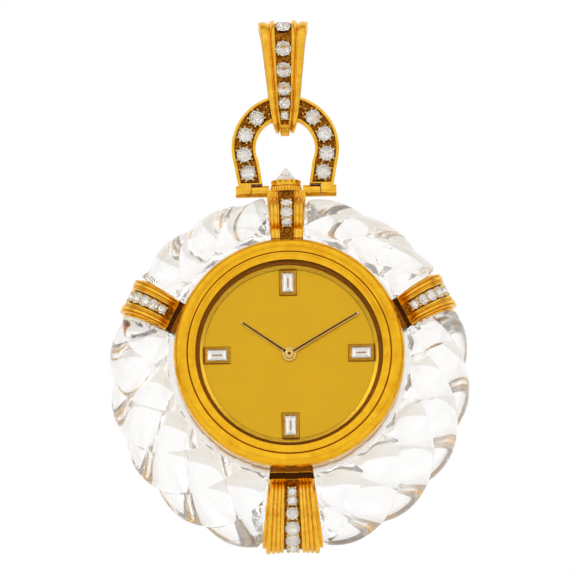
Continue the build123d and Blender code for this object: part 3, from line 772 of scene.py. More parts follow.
@dataclass
class CrystalRing:
    """The carved torsade: lobes that wind round an eccentric ring of rock crystal."""

    radius: float = 25.4
    drop: float = 2.4
    half_thickness: float = 4.5
    bore: float = 15.95
    lobe_foot: float = 17.1
    lobes: int = 18
    columns: int = 24
    turns: int = 72
    first_groove: float = 1.4
    twist: float = 30.0
    end: float = 150.0
    groove: float = 1.1
    roundness: float = 1.9
    fade_power: int = 4
    beds: tuple[Bed, ...] = (TOP_BED, LEFT_BED, RIGHT_BED, BOTTOM_BED)
    bed_sink: float = 1.3
    bed_side: float = 0.2
    bed_blend: float = 0.45

    def section(self, direction: float) -> tuple[float, float]:
        """Where the lobes begin and the section's reach per unit of cosine, from the ring's centre.

        Args:
            direction: The direction in degrees.

        Returns:
            The reach of the lobes' foot, and the half width of the section's ellipse.
        """
        rise = self.drop * sin(radians(direction))
        foot = rise + sqrt(rise ** 2 + self.lobe_foot ** 2 - self.drop ** 2)
        return foot, (self.radius - foot) / (1 - cos(radians(self.end)))

    def bezel_reach(self, direction: float, aside: float = 0.0) -> float:
        """How far the side of the bezel lies from the ring's centre.

        Args:
            direction: The direction in degrees.
            aside: The distance across that direction.

        Returns:
            The reach in mm.
        """
        shift = self.drop * cos(radians(direction))
        return self.drop * sin(radians(direction)) + sqrt(BEZEL_RADIUS ** 2 - (aside - shift) ** 2)

    def bed(self, crest: Vector) -> float:
        """How deep the smooth channels of the straps cut below a point of the crests.

        Args:
            crest: The point before any carving.

        Returns:
            The depth in mm.
        """
        deepest = 0.0
        for bed in self.beds:
            out = polar(1, bed.angle)
            along = crest.x * out.x + (crest.y + self.drop) * out.y
            across = abs((crest.y + self.drop) * out.x - crest.x * out.y)
            if along > 0:
                root = self.bezel_reach(bed.angle)
                share = (along - root) / (self.radius - root)
                side = (bed.inner + (bed.outer - bed.inner) * share) / 2 + self.bed_side
                deepest = max(deepest, self.bed_sink * ease((side - across) / self.bed_blend + 1))
        return deepest

    def point(self, direction: float, turn: float, sink: float) -> Vector:
        """A point of the carved surface.

        Args:
            direction: The line's direction at the outside of the ring, in degrees.
            turn: How far round the section, from the outside towards the front.
            sink: How deep the groove is there, in mm.

        Returns:
            The point in the drawing frame.
        """
        angle = direction + self.twist * turn / HALF_TURN
        foot = polar(self.lobe_foot, angle)
        crest = polar(self.radius, angle) - Vector((0, self.drop, 0))
        end = cos(radians(self.end))
        middle = foot + (crest - foot) * (-end / (1 - end))
        arm = foot + (crest - foot) * ((cos(radians(turn)) - end) / (1 - end)) - middle
        arm.z = self.half_thickness * sin(radians(turn))
        fade = sqrt(max(1 - (abs(turn) / self.end) ** self.fade_power, 0))
        depth = max(sink, self.bed(middle + arm)) * fade
        return middle + arm * (1 - depth / arm.length)

    def skin(self, count: int) -> list[list[Vector]]:
        """The carved surface, from the back ledge round the outside to the front one.

        Args:
            count: The number of points round the ring.

        Returns:
            Rows of points, each once round the ring.
        """
        rows = []
        for step in range(self.turns + 1):
            turn = self.end * (2 * step / self.turns - 1)
            line = []
            for column in range(count):
                across = abs(2 * (column % self.columns) / self.columns - 1)
                direction = self.first_groove + FULL_TURN * column / count
                line.append(self.point(direction, turn, self.groove * across ** self.roundness))
            rows.append(line)
        return rows

    def bore_edge(self, count: int, lead: float, depth: float) -> list[Vector]:
        """One edge of the bore, turned by a lead in degrees so that its points meet the lobes' lines."""
        first = self.first_groove + lead
        return [polar(self.bore, first + FULL_TURN * n / count, depth) for n in range(count)]

    def build(self, finishes: Finishes) -> None:
        """Draw the ring as one closed skin with its ledges and bore.

        Args:
            finishes: The finishes of the watch.
        """
        count = self.lobes * self.columns
        rows = self.skin(count)
        lead = self.twist * self.end / HALF_TURN
        shift = round(2 * lead / (FULL_TURN / count))
        ledge = self.half_thickness * sin(radians(self.end))
        front = self.bore_edge(count, lead, ledge)
        back = self.bore_edge(count, -lead, -ledge)
        draft = Draft()
        draft.grid(rows)
        draft.grid([rows[-1], front])
        draft.grid([back, rows[0]])
        draft.grid([front, back[shift:] + back[:shift]])
        torsade = draft.made("crystal_torsade", finishes.crystal, Body.HEAD, ("crystal_ring",),
                             "rock_crystal")
        torsade.data.materials.append(finishes.ground)
        for face in list(torsade.data.polygons)[-2 * count:]:
            face.material_index = 1


def rounded_rib(start: float, stop: float, foot: float, top: float, steps: int = 9,
                fullness: float = 0.7) -> list[tuple[float, float]]:
    """A rounded rib in section.

    Args:
        start: Where it begins across the section.
        stop: Where it ends.
        foot: The height of its sides.
        top: The height of its crest.
        steps: The number of points.
        fullness: Under 1 for a fuller round.

    Returns:
        (across, height) points.
    """
    middle, half = (start + stop) / 2, (stop - start) / 2
    arcs = [pi * step / steps for step in range(steps + 1)]
    return [(middle - half * cos(arc), foot + (top - foot) * sin(arc) ** fullness) for arc in arcs]


def mirrored(half: Sequence[tuple[float, float]]) -> list[tuple[float, float]]:
    """A whole section from its right half, with the left half first."""
    return [(-x, y) for x, y in half] + [(x, y) for x, y in reversed(half)]


@dataclass
class Strap:
    """A ribbed gold strap that lies in a channel of the crystal, from the bezel round to the back.

    Turns go round the crystal's section in degrees, from the outside (0) to the front (positive) and the
    back (negative). Heights are over the strap's base. Ribs are (start, stop, height), with the first two
    as shares of the side wall's width. A gleam is a polished strip across the end in painted shade, in
    degrees.
    """

    name: str
    bed: Bed
    channels: tuple[float, float]
    stones: tuple[tuple[float, float], ...]
    ring: CrystalRing = field(default_factory=CrystalRing)
    sink: float = 1.1
    dive: float = 142.0
    dive_height: float = 0.2
    dive_length: float = 10.0
    heel: float = 146.5
    ribs: tuple[tuple[float, float, float], ...] = ((0.17, 0.31, 1.0), (0.33, 0.66, 1.12),
                                                    (0.68, 0.84, 1.08))
    wrap: float = 134.0
    root: float = 0.1
    tuck: float = 0.5
    flange: float = 0.34
    flange_roll: float = 0.12
    groove: float = 0.74
    ridge: float = 0.95
    floor: float = 0.06
    floor_gap: float = 0.01
    floor_step: float = 6.0
    floor_columns: int = 12
    floor_overlap: float = 0.5
    saddle_height: float = 0.5
    back_end: float = -8.0
    lift: float = 0.7
    under_stone: float = 0.1
    fullness: float = 0.7
    gleam: float = 0.0

    def frame(self, turn: float) -> tuple[Vector, Vector]:
        """The line under the strap as (reach, depth) and its outward normal.

        Args:
            turn: How far round the section, in degrees from the outside towards the front.

        Returns:
            A point and a unit normal, both with reach as x and depth as z.
        """
        foot, half_width = self.ring.section(self.bed.angle)
        reach = foot + half_width * (cos(radians(turn)) - cos(radians(self.ring.end)))
        depth = self.ring.half_thickness * sin(radians(turn))
        normal = Vector((cos(radians(turn)) / half_width, 0,
                         sin(radians(turn)) / self.ring.half_thickness)).normalized()
        return Vector((reach, 0, depth)) - normal * self.sink, normal

    def axes(self) -> tuple[Vector, Vector, Vector]:
        """The strap's own axes: the ring's centre, the way out and the way across."""
        out = polar(1, self.bed.angle)
        return Vector((0, -self.ring.drop, 0)), out, Vector((-out.y, out.x, 0))

    def half_section(self, width: float, channel: float) -> list[tuple[float, float]]:
        """The section from the channel's middle to the outer edge, as (across, height) points.

        Args:
            width: The strap's whole width.
            channel: The channel's whole width.

        Returns:
            The points, from the floor of the channel outward and down to the base.
        """
        inner = channel / 2
        wall = (width - channel) / 2
        low = self.flange - self.flange_roll
        points = [(0.0, self.floor), (0.0, self.ridge - 0.06), (0.03, self.ridge), (0.12, self.ridge),
                  (0.15, self.ridge - 0.03), (0.16, self.groove)]
        for start, stop, top in self.ribs:
            points += rounded_rib(start, stop, self.groove, top, fullness=self.fullness)
        points += [(0.85, low), *rounded_rib(0.87, 1.0, low, self.flange, 6), (1.0, 0.0)]
        return [(inner + wall * share, height) for share, height in points]

    def spot(self, turn: float) -> tuple[Vector, Vector]:
        """The route under the strap, with its straight ends beside the bezel.

        Args:
            turn: How far round the section; past the wrap it runs in to the bezel.

        Returns:
            A point and a unit normal, both with reach as x and depth as z.
        """
        held = max(min(turn, self.wrap), -self.wrap)
        point, normal = self.frame(held)
        over = (abs(turn) - self.wrap) / (self.ring.end - self.wrap)
        if over > 0:
            start = Vector((self.ring.bezel_reach(self.bed.angle) - self.root, 0, point.z))
            upright = Vector((0, 0, 1 if turn > 0 else -1))
            point, normal = point.lerp(start, over), normal.lerp(upright, over).normalized()
        return point, normal

    def fade(self, turn: float) -> float:
        """The share of its height that the strap has at a turn: it dies away towards the case."""
        return 1 - (1 - self.dive_height) * ease((abs(turn) - self.dive) / self.dive_length + 1)

    def line(self, turn: float) -> list[Vector]:
        """One section of the strap in place.

        Args:
            turn: How far round the section.

        Returns:
            The section's points in the drawing frame.
        """
        point, normal = self.spot(turn)
        height = self.fade(turn)
        half = [(x, h * height) for x, h in self.half_section(*self.spans(point.x))]
        if abs(turn) >= self.ring.end:
            point = Vector((0, 0, point.z))
        return [self.set_down(point, normal, x, h) for x, h in mirrored(half)]

    def spans(self, reach: float) -> tuple[float, float]:
        """The strap's and its channel's whole widths.

        Args:
            reach: The distance from the ring's centre.

        Returns:
            The strap's width and the channel's width there.
        """
        root = self.ring.bezel_reach(self.bed.angle) - self.tuck
        part = (reach - root) / (self.ring.radius - root)
        return (self.bed.inner + (self.bed.outer - self.bed.inner) * part,
                self.channels[0] + (self.channels[1] - self.channels[0]) * part)

    def set_down(self, point: Vector, normal: Vector, across: float, height: float) -> Vector:
        """Carry a point of the section to its place on the route.

        Args:
            point: The station's point, as reach and depth.
            normal: The station's normal.
            across: The distance across the strap.
            height: The height over the strap's base.

        Returns:
            The place in the drawing frame.
        """
        centre, out, aside = self.axes()
        reach = point.x + normal.x * height
        nearest = self.ring.bezel_reach(self.bed.angle, across) - self.root
        depth = Vector((0, 0, point.z + normal.z * height))
        return centre + out * max(reach, nearest) + aside * across + depth

    def body(self, draft: Draft, start: float, stop: float, steps: int) -> None:
        """Draw the strap's ribbed body between two turns round the section."""
        turns = [start + (stop - start) * step / steps for step in range(steps + 1)]
        draft.grid([self.line(turn) for turn in turns], caps=True)

    def saddle(self, draft: Draft, start: float, stop: float, start_radius: float = 0.0,
               stop_radius: float = 0.0) -> None:
        """Draw the rough floor between two stones, hollowed where they sit.

        Args:
            draft: The mesh that takes it.
            start: Where the first stone lies, as a turn round the section.
            stop: Where the second stone lies.
            start_radius: The first stone's radius, or 0 where there is none.
            stop_radius: The second stone's radius, or 0.
        """
        low, high = (self.place(turn, self.lift).translation for turn in (start, stop))
        gap = (high - low).length
        half = self.spans(self.spot(start)[0].x)[1] / 2 - self.floor_gap
        steps = max(3, round(abs(stop - start) / self.floor_step))
        rows = []
        for step in range(-1, steps + 2):
            share = min(max(step / steps, 0), 1)
            line = []
            for column in range(self.floor_columns + 1):
                part = 2 * column / self.floor_columns - 1
                first = sqrt(max(start_radius ** 2 - (part * half) ** 2, 0)) / gap
                last = 1 - sqrt(max(stop_radius ** 2 - (part * half) ** 2, 0)) / gap
                turn = start + (stop - start) * (first + (last - first) * share)
                point, normal = self.spot(turn)
                across = part * (self.spans(point.x)[1] / 2 - self.floor_gap)
                height = self.floor if step in (-1, steps + 1) else self.saddle_height
                line.append(self.set_down(point, normal, across, height * self.fade(turn)))
            rows.append(line)
        draft.grid(rows, close_columns=False)

    def lining(self, draft: Draft) -> None:
        """Draw the rough floor that shows between the stones, and past them to the case.

        Args:
            draft: The mesh that takes it.
        """
        ends = [(self.back_end, 0.0)] + [(turn, diameter / 2) for turn, diameter in self.stones]
        ends.append((self.dive - self.floor_overlap, 0.0))
        for (start, start_radius), (stop, stop_radius) in zip(ends, ends[1:]):
            self.saddle(draft, start, stop, start_radius, stop_radius)

    def place(self, turn: float, height: float) -> Matrix:
        """Where a stone lies over the channel.

        Args:
            turn: How far round the section.
            height: The height over the strap's base.

        Returns:
            A matrix whose x runs down the strap and whose z points out of it.
        """
        centre, out, across = self.axes()
        point, normal = self.spot(turn)
        up = out * normal.x + Vector((0, 0, normal.z))
        origin = centre + out * point.x + Vector((0, 0, point.z)) + up * height
        return Matrix.Translation(origin) @ Matrix((across.cross(up), across, up)).transposed().to_4x4()

    def build(self, finishes: Finishes) -> None:
        """Make the strap, its ends and heels in painted shade, its floor, its stones and its grains.

        Args:
            finishes: The finishes of the watch.
        """
        body, ends, heels, floor = Draft(), Draft(), Draft(), Draft()
        self.body(body, self.dive, -self.dive, steps=60)
        self.saddle(body, self.floor_overlap - self.dive, self.back_end)
        if self.gleam:
            self.body(body, self.heel + self.gleam, self.heel - self.gleam / 4, steps=1)
        for side in (-1, 1):
            self.body(ends, side * self.heel, side * self.dive, steps=6)
            self.body(heels, side * self.ring.end, side * self.heel, steps=3)
        self.lining(floor)
        self.finish_body(body, floor)
        stones = StoneRow(bead=0.23, bead_angles=(38, 142, 218, 322), bead_gap=0.1)
        for turn, diameter in self.stones:
            depth = min(CUT.pavilion_share * diameter, self.lift - self.under_stone)
            stones.set_stone(self.place(turn, self.lift), diameter, depth)
        strap = f"{self.name}_strap"
        body.made(f"{strap}_gold", finishes.worked, Body.HEAD, (strap,))
        # The ends and heels by the case are painted shade where the strap dives into the gap.
        ends.made(f"{strap}_ends", finishes.deep, Body.HEAD)
        heels.made(f"{strap}_heels", finishes.dark, Body.HEAD)
        # The floor is oxidised punched gold, painted darker for the shade of its depth.
        floor.made(f"{strap}_floor", finishes.punched, Body.HEAD)
        stones.made(strap, f"{strap}_stones", finishes, Body.HEAD)

    def finish_body(self, draft: Draft, floor: Draft) -> None:
        """Add what only some straps carry."""


@dataclass
class TopStrap(Strap):
    """The strap at twelve, which also carries the crown's seat and the fixed knuckles of the hinge."""

    knuckle_span: tuple[float, float] = (2.4, 4.85)
    lug_span: tuple[float, float] = (1.9, 2.75)
    lug_base: float = 22.3
    seat_size: tuple[float, float] = (4.6, 3.8)
    seat_span: tuple[float, float] = (22.2, 23.35)
    seat_floor: float = 0.5
    skin: float = 0.02
    joint: float = 0.07
    joint_inset: float = 0.04

    def finish_body(self, draft: Draft, floor: Draft) -> None:
        """Add the crown's ribbed seat, the two fixed knuckles beside it and the lugs that carry them.

        Args:
            draft: The mesh that takes the polished parts.
            floor: The mesh that takes the seat's rough floor and the painted shade in the joints beside the
                knuckles.
        """
        width, depth = self.seat_size
        channel = self.channels[1]
        half = self.half_section(width, channel)
        front = depth / 2 - max(height for _, height in half)
        half = [(x, front + max(height, self.seat_floor) if height else -depth / 2) for x, height in half]
        draft.grid([[Vector((x, y, z)) for x, z in mirrored(half)] for y in self.seat_span], caps=True)
        face = front + self.seat_floor + self.skin
        draw_box(floor, (-channel / 2, channel / 2), (self.seat_span[0], self.seat_span[1] - self.skin),
                 (face - 0.05, face))
        lug = KNUCKLE_RADIUS - 0.01
        for side in (-1, 1):
            draw_bar(draft, [side * end for end in self.knuckle_span], HINGE_HEIGHT, KNUCKLE_RADIUS)
            # A dark ring in the joint beside each knuckle is painted shade.
            face = side * self.knuckle_span[1]
            draw_bar(floor, (face - side * self.skin, face + side * self.joint), HINGE_HEIGHT,
                     KNUCKLE_RADIUS - self.joint_inset, rounding=0.01)
            draw_box(draft, [side * end for end in self.lug_span], (self.lug_base, HINGE_HEIGHT), (-lug, lug))


@dataclass
class WatchCase:
    """Bezel, back, glass and rehaut, all turned about the axis of the dial."""

    case_front: float = 2.35
    chamfer: float = 0.1
    opening: float = 13.15
    glass_front: float = 4.7
    glass_back: float = 3.9
    glass_radius: float = 14.0
    inner_radius: float = 14.35
    groove_radius: float = 14.25
    groove_half: float = 0.05
    groove_floor: float = 4.95
    shade_half: float = 0.045
    shade_depths: tuple[float, float] = (4.96, 5.06)
    roll_low: float = 4.3
    roll_foot: float = 5.12
    crest: float = 5.5
    slope_rim: float = 0.12
    slope_top: float = 5.25
    slope_drop: float = 0.27
    slope_power: float = 1.6
    rehaut_opening: float = 12.0
    rehaut_ledge: float = 12.55
    dial_radius: float = 14.2
    back_face: float = -5.0
    back_floor: float = -4.1
    back_round: tuple[float, float] = (1.2, 0.8)
    axis_gap: float = 0.02

    def roll(self, outer: float, inner: float) -> list[tuple[float, float]]:
        """A rounded roll in section.

        Args:
            outer: The outer radius.
            inner: The inner radius.

        Returns:
            (radius, depth) points from the outer wall over the crest to the inner foot.
        """
        steps = 24
        middle = (outer + inner) / 2
        points = []
        for step in range(steps + 1):
            arc = pi * step / steps
            base = self.roll_low if arc < pi / 2 else self.roll_foot
            points.append((middle + (outer - middle) * cos(arc), base + (self.crest - base) * sin(arc)))
        return points

    def turned(self, name: str, outline: Sequence[tuple[float, float]], material: bpy.types.Material,
               node: str = "", slot: str = "gold", steps: int = 256) -> None:
        """Turn one outline into a piece of the case.

        Args:
            name: The piece's name.
            outline: Its closed outline, as (radius, depth) points.
            material: Its finish.
            node: The CAD node that it stands for, if any.
            slot: The record's material slot.
            steps: The number of points round it.
        """
        draft = Draft()
        draft.lathe(outline, steps)
        draft.made(name, material, Body.HEAD, (node,) if node else (), slot)

    def bezel(self, finishes: Finishes) -> None:
        """Draw the bezel: a broad outer roll, a fine dark groove and an inner slope.

        Args:
            finishes: The finishes of the watch.
        """
        outer, inner = self.groove_radius + self.groove_half, self.groove_radius - self.groove_half
        rim = self.groove_radius - self.slope_rim
        outline = [(self.inner_radius, self.glass_front), (self.inner_radius, self.case_front),
                   (BEZEL_RADIUS - self.chamfer, self.case_front),
                   (BEZEL_RADIUS, self.case_front + self.chamfer)]
        outline += self.roll(BEZEL_RADIUS, outer)
        outline += [(outer, self.groove_floor), (inner, self.groove_floor), (inner, self.slope_top - 0.05),
                    (inner - 0.02, self.slope_top - 0.015), (rim, self.slope_top)]
        steps = 6
        for share in (step / steps for step in range(1, steps + 1)):
            outline.append((rim - (rim - self.opening) * share,
                            self.slope_top - self.slope_drop * share ** self.slope_power))
        outline.append((self.opening, self.glass_front))
        self.turned("bezel_roll", outline, finishes.gold, "bezel")
        low, high = self.shade_depths
        left, right = self.groove_radius - self.shade_half, self.groove_radius + self.shade_half
        # The thin dark ring in the groove is painted shade.
        self.turned("bezel_groove_shade", ((left, low), (right, low), (right, high), (left, high)),
                    finishes.black)

    def back(self, finishes: Finishes) -> None:
        """Draw the pressed-on back with its rounded edge and flat middle.

        Args:
            finishes: The finishes of the watch.
        """
        outline = [(self.axis_gap, self.back_floor), (self.inner_radius, self.back_floor),
                   (self.inner_radius, -self.case_front), (BEZEL_RADIUS - self.chamfer, -self.case_front),
                   (BEZEL_RADIUS, -self.case_front - self.chamfer)]
        width, height = self.back_round
        steps = 10
        for arc in (pi / 2 * step / steps for step in range(steps + 1)):
            outline.append((BEZEL_RADIUS - width * (1 - cos(arc)), self.back_face + height * (1 - sin(arc))))
        outline.append((self.axis_gap, self.back_face))
        self.turned("case_back_cover", outline, finishes.satin, "case_back")

    def glass(self, finishes: Finishes) -> None:
        """Draw the flat glass with a fine chamfer.

        Args:
            finishes: The finishes of the watch.
        """
        rim = self.glass_radius - self.chamfer
        outline = [(self.axis_gap, self.glass_back), (rim, self.glass_back),
                   (self.glass_radius, self.glass_back + self.chamfer),
                   (self.glass_radius, self.glass_front - self.chamfer), (rim, self.glass_front),
                   (self.axis_gap, self.glass_front)]
        self.turned("flat_glass", outline, finishes.glass, "watch_glass", "glass", steps=192)

    def rehaut(self, finishes: Finishes) -> None:
        """Draw the rehaut's steep outer wall in painted shade, its polished inner lip and the painted shade
        under it.

        Args:
            finishes: The finishes of the watch.
        """
        under = self.glass_back - 0.01
        opening, ledge = self.rehaut_opening, self.rehaut_ledge
        wall = ((ledge, 0.3), (ledge + 0.12, 0.36), (self.opening, under - DIAL_FRONT),
                (self.dial_radius, under - DIAL_FRONT), (self.dial_radius, 0.3))
        lip = ((opening, 0.0), (opening, 0.1), (opening + 0.1, 0.14), (ledge - 0.1, 0.4), (ledge, 0.42),
               (ledge + 0.06, 0.36), (ledge + 0.06, 0.0))
        left, right = opening - self.shade_half, opening + self.shade_half
        shade = ((left, 0.0), (right, 0.0), (right, 0.12), (left, 0.02))
        # The wall and the undercut are dark gold as painted shade.
        for name, outline, material in (("rehaut_wall", wall, finishes.dark),
                                        ("rehaut_lip", lip, finishes.lip),
                                        ("rehaut_undercut", shade, finishes.deep)):
            lifted = [(radius, DIAL_FRONT + rise) for radius, rise in outline]
            self.turned(name, lifted, material, "rehaut_ring")

    def build(self, finishes: Finishes) -> None:
        """Make the turned pieces of the case.

        Args:
            finishes: The finishes of the watch.
        """
        self.bezel(finishes)
        self.back(finishes)
        self.glass(finishes)
        self.rehaut(finishes)


@dataclass
class HourMarkers:
    """Four baguettes in raised frames, at twelve, three, six and nine.

    The cut's steps are (inset, rise) from the girdle, from the culet line up to the table.
    """

    centre_radius: float = 10.1
    frame_size: tuple[float, float] = (3.55, 2.35)
    stone_size: tuple[float, float] = (2.75, 1.55)
    height: float = 0.4
    frame_gap: float = 0.04
    frame_lip: float = 0.1
    floor: float = 0.1
    # The roots are a thin dark plate round each frame's foot, a painted shadow.
    root: float = 0.18
    root_height: float = 0.03
    girdle: float = 0.34
    cut_steps: tuple[tuple[float, float], ...] = ((0.9, -0.22), (0.4, -0.14), (0.0, -0.015), (0.0, 0.015),
                                                  (0.28, 0.08), (0.6, 0.12))
    seat_insets: tuple[float, float] = (0.12, 1.32)
    seat_rise: float = 0.01
    edge_rounding: float = 0.08

    def rectangle(self, place: Matrix, size: tuple[float, float], growth: float,
                  height: float) -> list[Vector]:
        """Corners of a rectangle centred on one marker.

        Args:
            place: The marker's place.
            size: Its length and width before the growth.
            growth: What both grow by.
            height: Its height over the dial.

        Returns:
            Its four corners.
        """
        along, across = (side / 2 + growth / 2 for side in size)
        return [place @ Vector((x * along, y * across, height))
                for x, y in ((-1, -1), (1, -1), (1, 1), (-1, 1))]

    def build(self, finishes: Finishes) -> None:
        """Make the frames with a painted shadow round their roots, the seats and the step-cut stones.

        Args:
            finishes: The finishes of the watch.
        """
        seats, roots, frames, stones = Draft(), Draft(), Draft(), Draft()
        frame, stone = self.frame_size, self.stone_size
        solids = (
            (roots, [(frame, self.root, 0.0), (frame, self.root, self.root_height)]),
            (frames, [(frame, 0.0, 0.0), (frame, 0.0, self.height), (stone, self.frame_gap, self.height),
                      (stone, -self.frame_lip, self.floor)]),
            (stones, [(stone, -inset, self.girdle + rise) for inset, rise in self.cut_steps]),
        )
        level = self.floor + self.seat_rise
        for quarter in range(4):
            place = (Matrix.Rotation(radians(QUARTER_TURN * quarter), 4, "Z")
                     @ Matrix.Translation((self.centre_radius, 0, DIAL_FRONT)))
            for draft, steps in solids:
                draft.grid([self.rectangle(place, *step) for step in steps], caps=True)
            seats.grid([self.rectangle(place, stone, -inset, level) for inset in self.seat_insets])
        # The seats are painted near white for the light that the stones throw back.
        seats.made("baguette_seats", finishes.seat, Body.HEAD, slot="steel", smooth=False)
        # The roots are a painted shadow round each frame.
        roots.made("baguette_frame_root_shadows", finishes.dark, Body.HEAD, smooth=False)
        frames.made("baguette_frames", finishes.frame_gold, Body.HEAD, ("marker_settings",), smooth=False,
                    bevel=self.edge_rounding)
        stones.made("step_cut_baguettes", finishes.diamond, Body.HEAD, ("marker_stones",), "diamond",
                    smooth=False)


@dataclass(frozen=True)
class Baton:
    """One hand's own sizes in mm, and its angle clockwise from twelve in degrees."""

    name: str
    body: Body
    length: float
    back: float
    clockwise: float
    hub_radius: float
    cap: float


@dataclass
class Hands:
    """Two slim polished batons, paler gold as painted highlight, with a painted dark reflection down the
    middle.
    """

    batons: tuple[Baton, ...] = (Baton("hour", Body.HOUR, 8.2, 3.2, 305.0, 1.05, 0.0),
                                 Baton("minute", Body.MINUTE, 11.4, 3.54, 60.0, 0.68, 0.1))
    width: float = 0.54
    tip_width: float = 0.42
    tip_length: float = 0.05
    thickness: float = 0.15
    bevel: float = 0.05
    bevel_drop: float = 0.04
    dark_line_share: float = 0.56
    dark_line_sink: float = 0.02
    dark_line_rise: float = 0.012
    dark_line_margin: float = 0.3
    pin_radius: float = 0.24
    pin_rise: float = 0.02

    def baton(self, draft: Draft, dark_line: Draft, hand: Baton) -> None:
        """Draw one baton and the line along it.

        Args:
            draft: The mesh that takes the baton.
            dark_line: The mesh that takes the line.
            hand: The hand's own sizes.
        """
        turn = Matrix.Rotation(-radians(hand.clockwise), 4, "Z")
        front = hand.back + self.thickness
        rows = []
        for along, width, top in ((0.0, self.width, front),
                                  (hand.length - self.tip_length, self.tip_width, front),
                                  (hand.length, self.tip_width * 0.8, front - self.bevel)):
            half, edge = width / 2, top - self.bevel_drop
            profile = ((-half, hand.back), (half, hand.back), (half, edge), (half - self.bevel, top),
                       (-half + self.bevel, top), (-half, edge))
            rows.append([turn @ Vector((x, along, z)) for x, z in profile])
        draft.grid(rows, caps=True)
        low, high = front - self.dark_line_sink, front + self.dark_line_rise
        rows = []
        for along, width in ((hand.hub_radius, self.width),
                             (hand.length - self.dark_line_margin, self.tip_width)):
            half = width * self.dark_line_share / 2
            profile = ((-half, low), (half, low), (half, high), (-half, high))
            rows.append([turn @ Vector((x, along, z)) for x, z in profile])
        dark_line.grid(rows, caps=True)

    def hub(self, draft: Draft, radius: float, back: float, front: float) -> None:
        """Draw a round hub with a bevelled rim.

        Args:
            draft: The mesh that takes it.
            radius: Its radius.
            back: The depth of its underside.
            front: The depth of its face.
        """
        axis, steps = 0.01, 64
        draft.lathe([(axis, back), (radius, back), (radius, front - self.bevel), (radius - self.bevel, front),
                     (axis, front)], steps)

    def build(self, finishes: Finishes) -> None:
        """Make both hands at ten past ten.

        Args:
            finishes: The finishes of the watch.
        """
        for hand in self.batons:
            draft, dark_line = Draft(), Draft()
            top = hand.back + self.thickness + hand.cap
            self.baton(draft, dark_line, hand)
            self.hub(draft, hand.hub_radius, hand.back, top)
            if hand.cap:
                self.hub(dark_line, self.pin_radius, hand.back, top + self.pin_rise)
            # The batons' paler gold is painted highlight, and the line along them is a painted dark
            # reflection.
            draft.made(f"{hand.name}_baton", finishes.pale, hand.body, (f"{hand.name}_hand",))
            dark_line.made(f"{hand.name}_baton_line", finishes.black, hand.body)


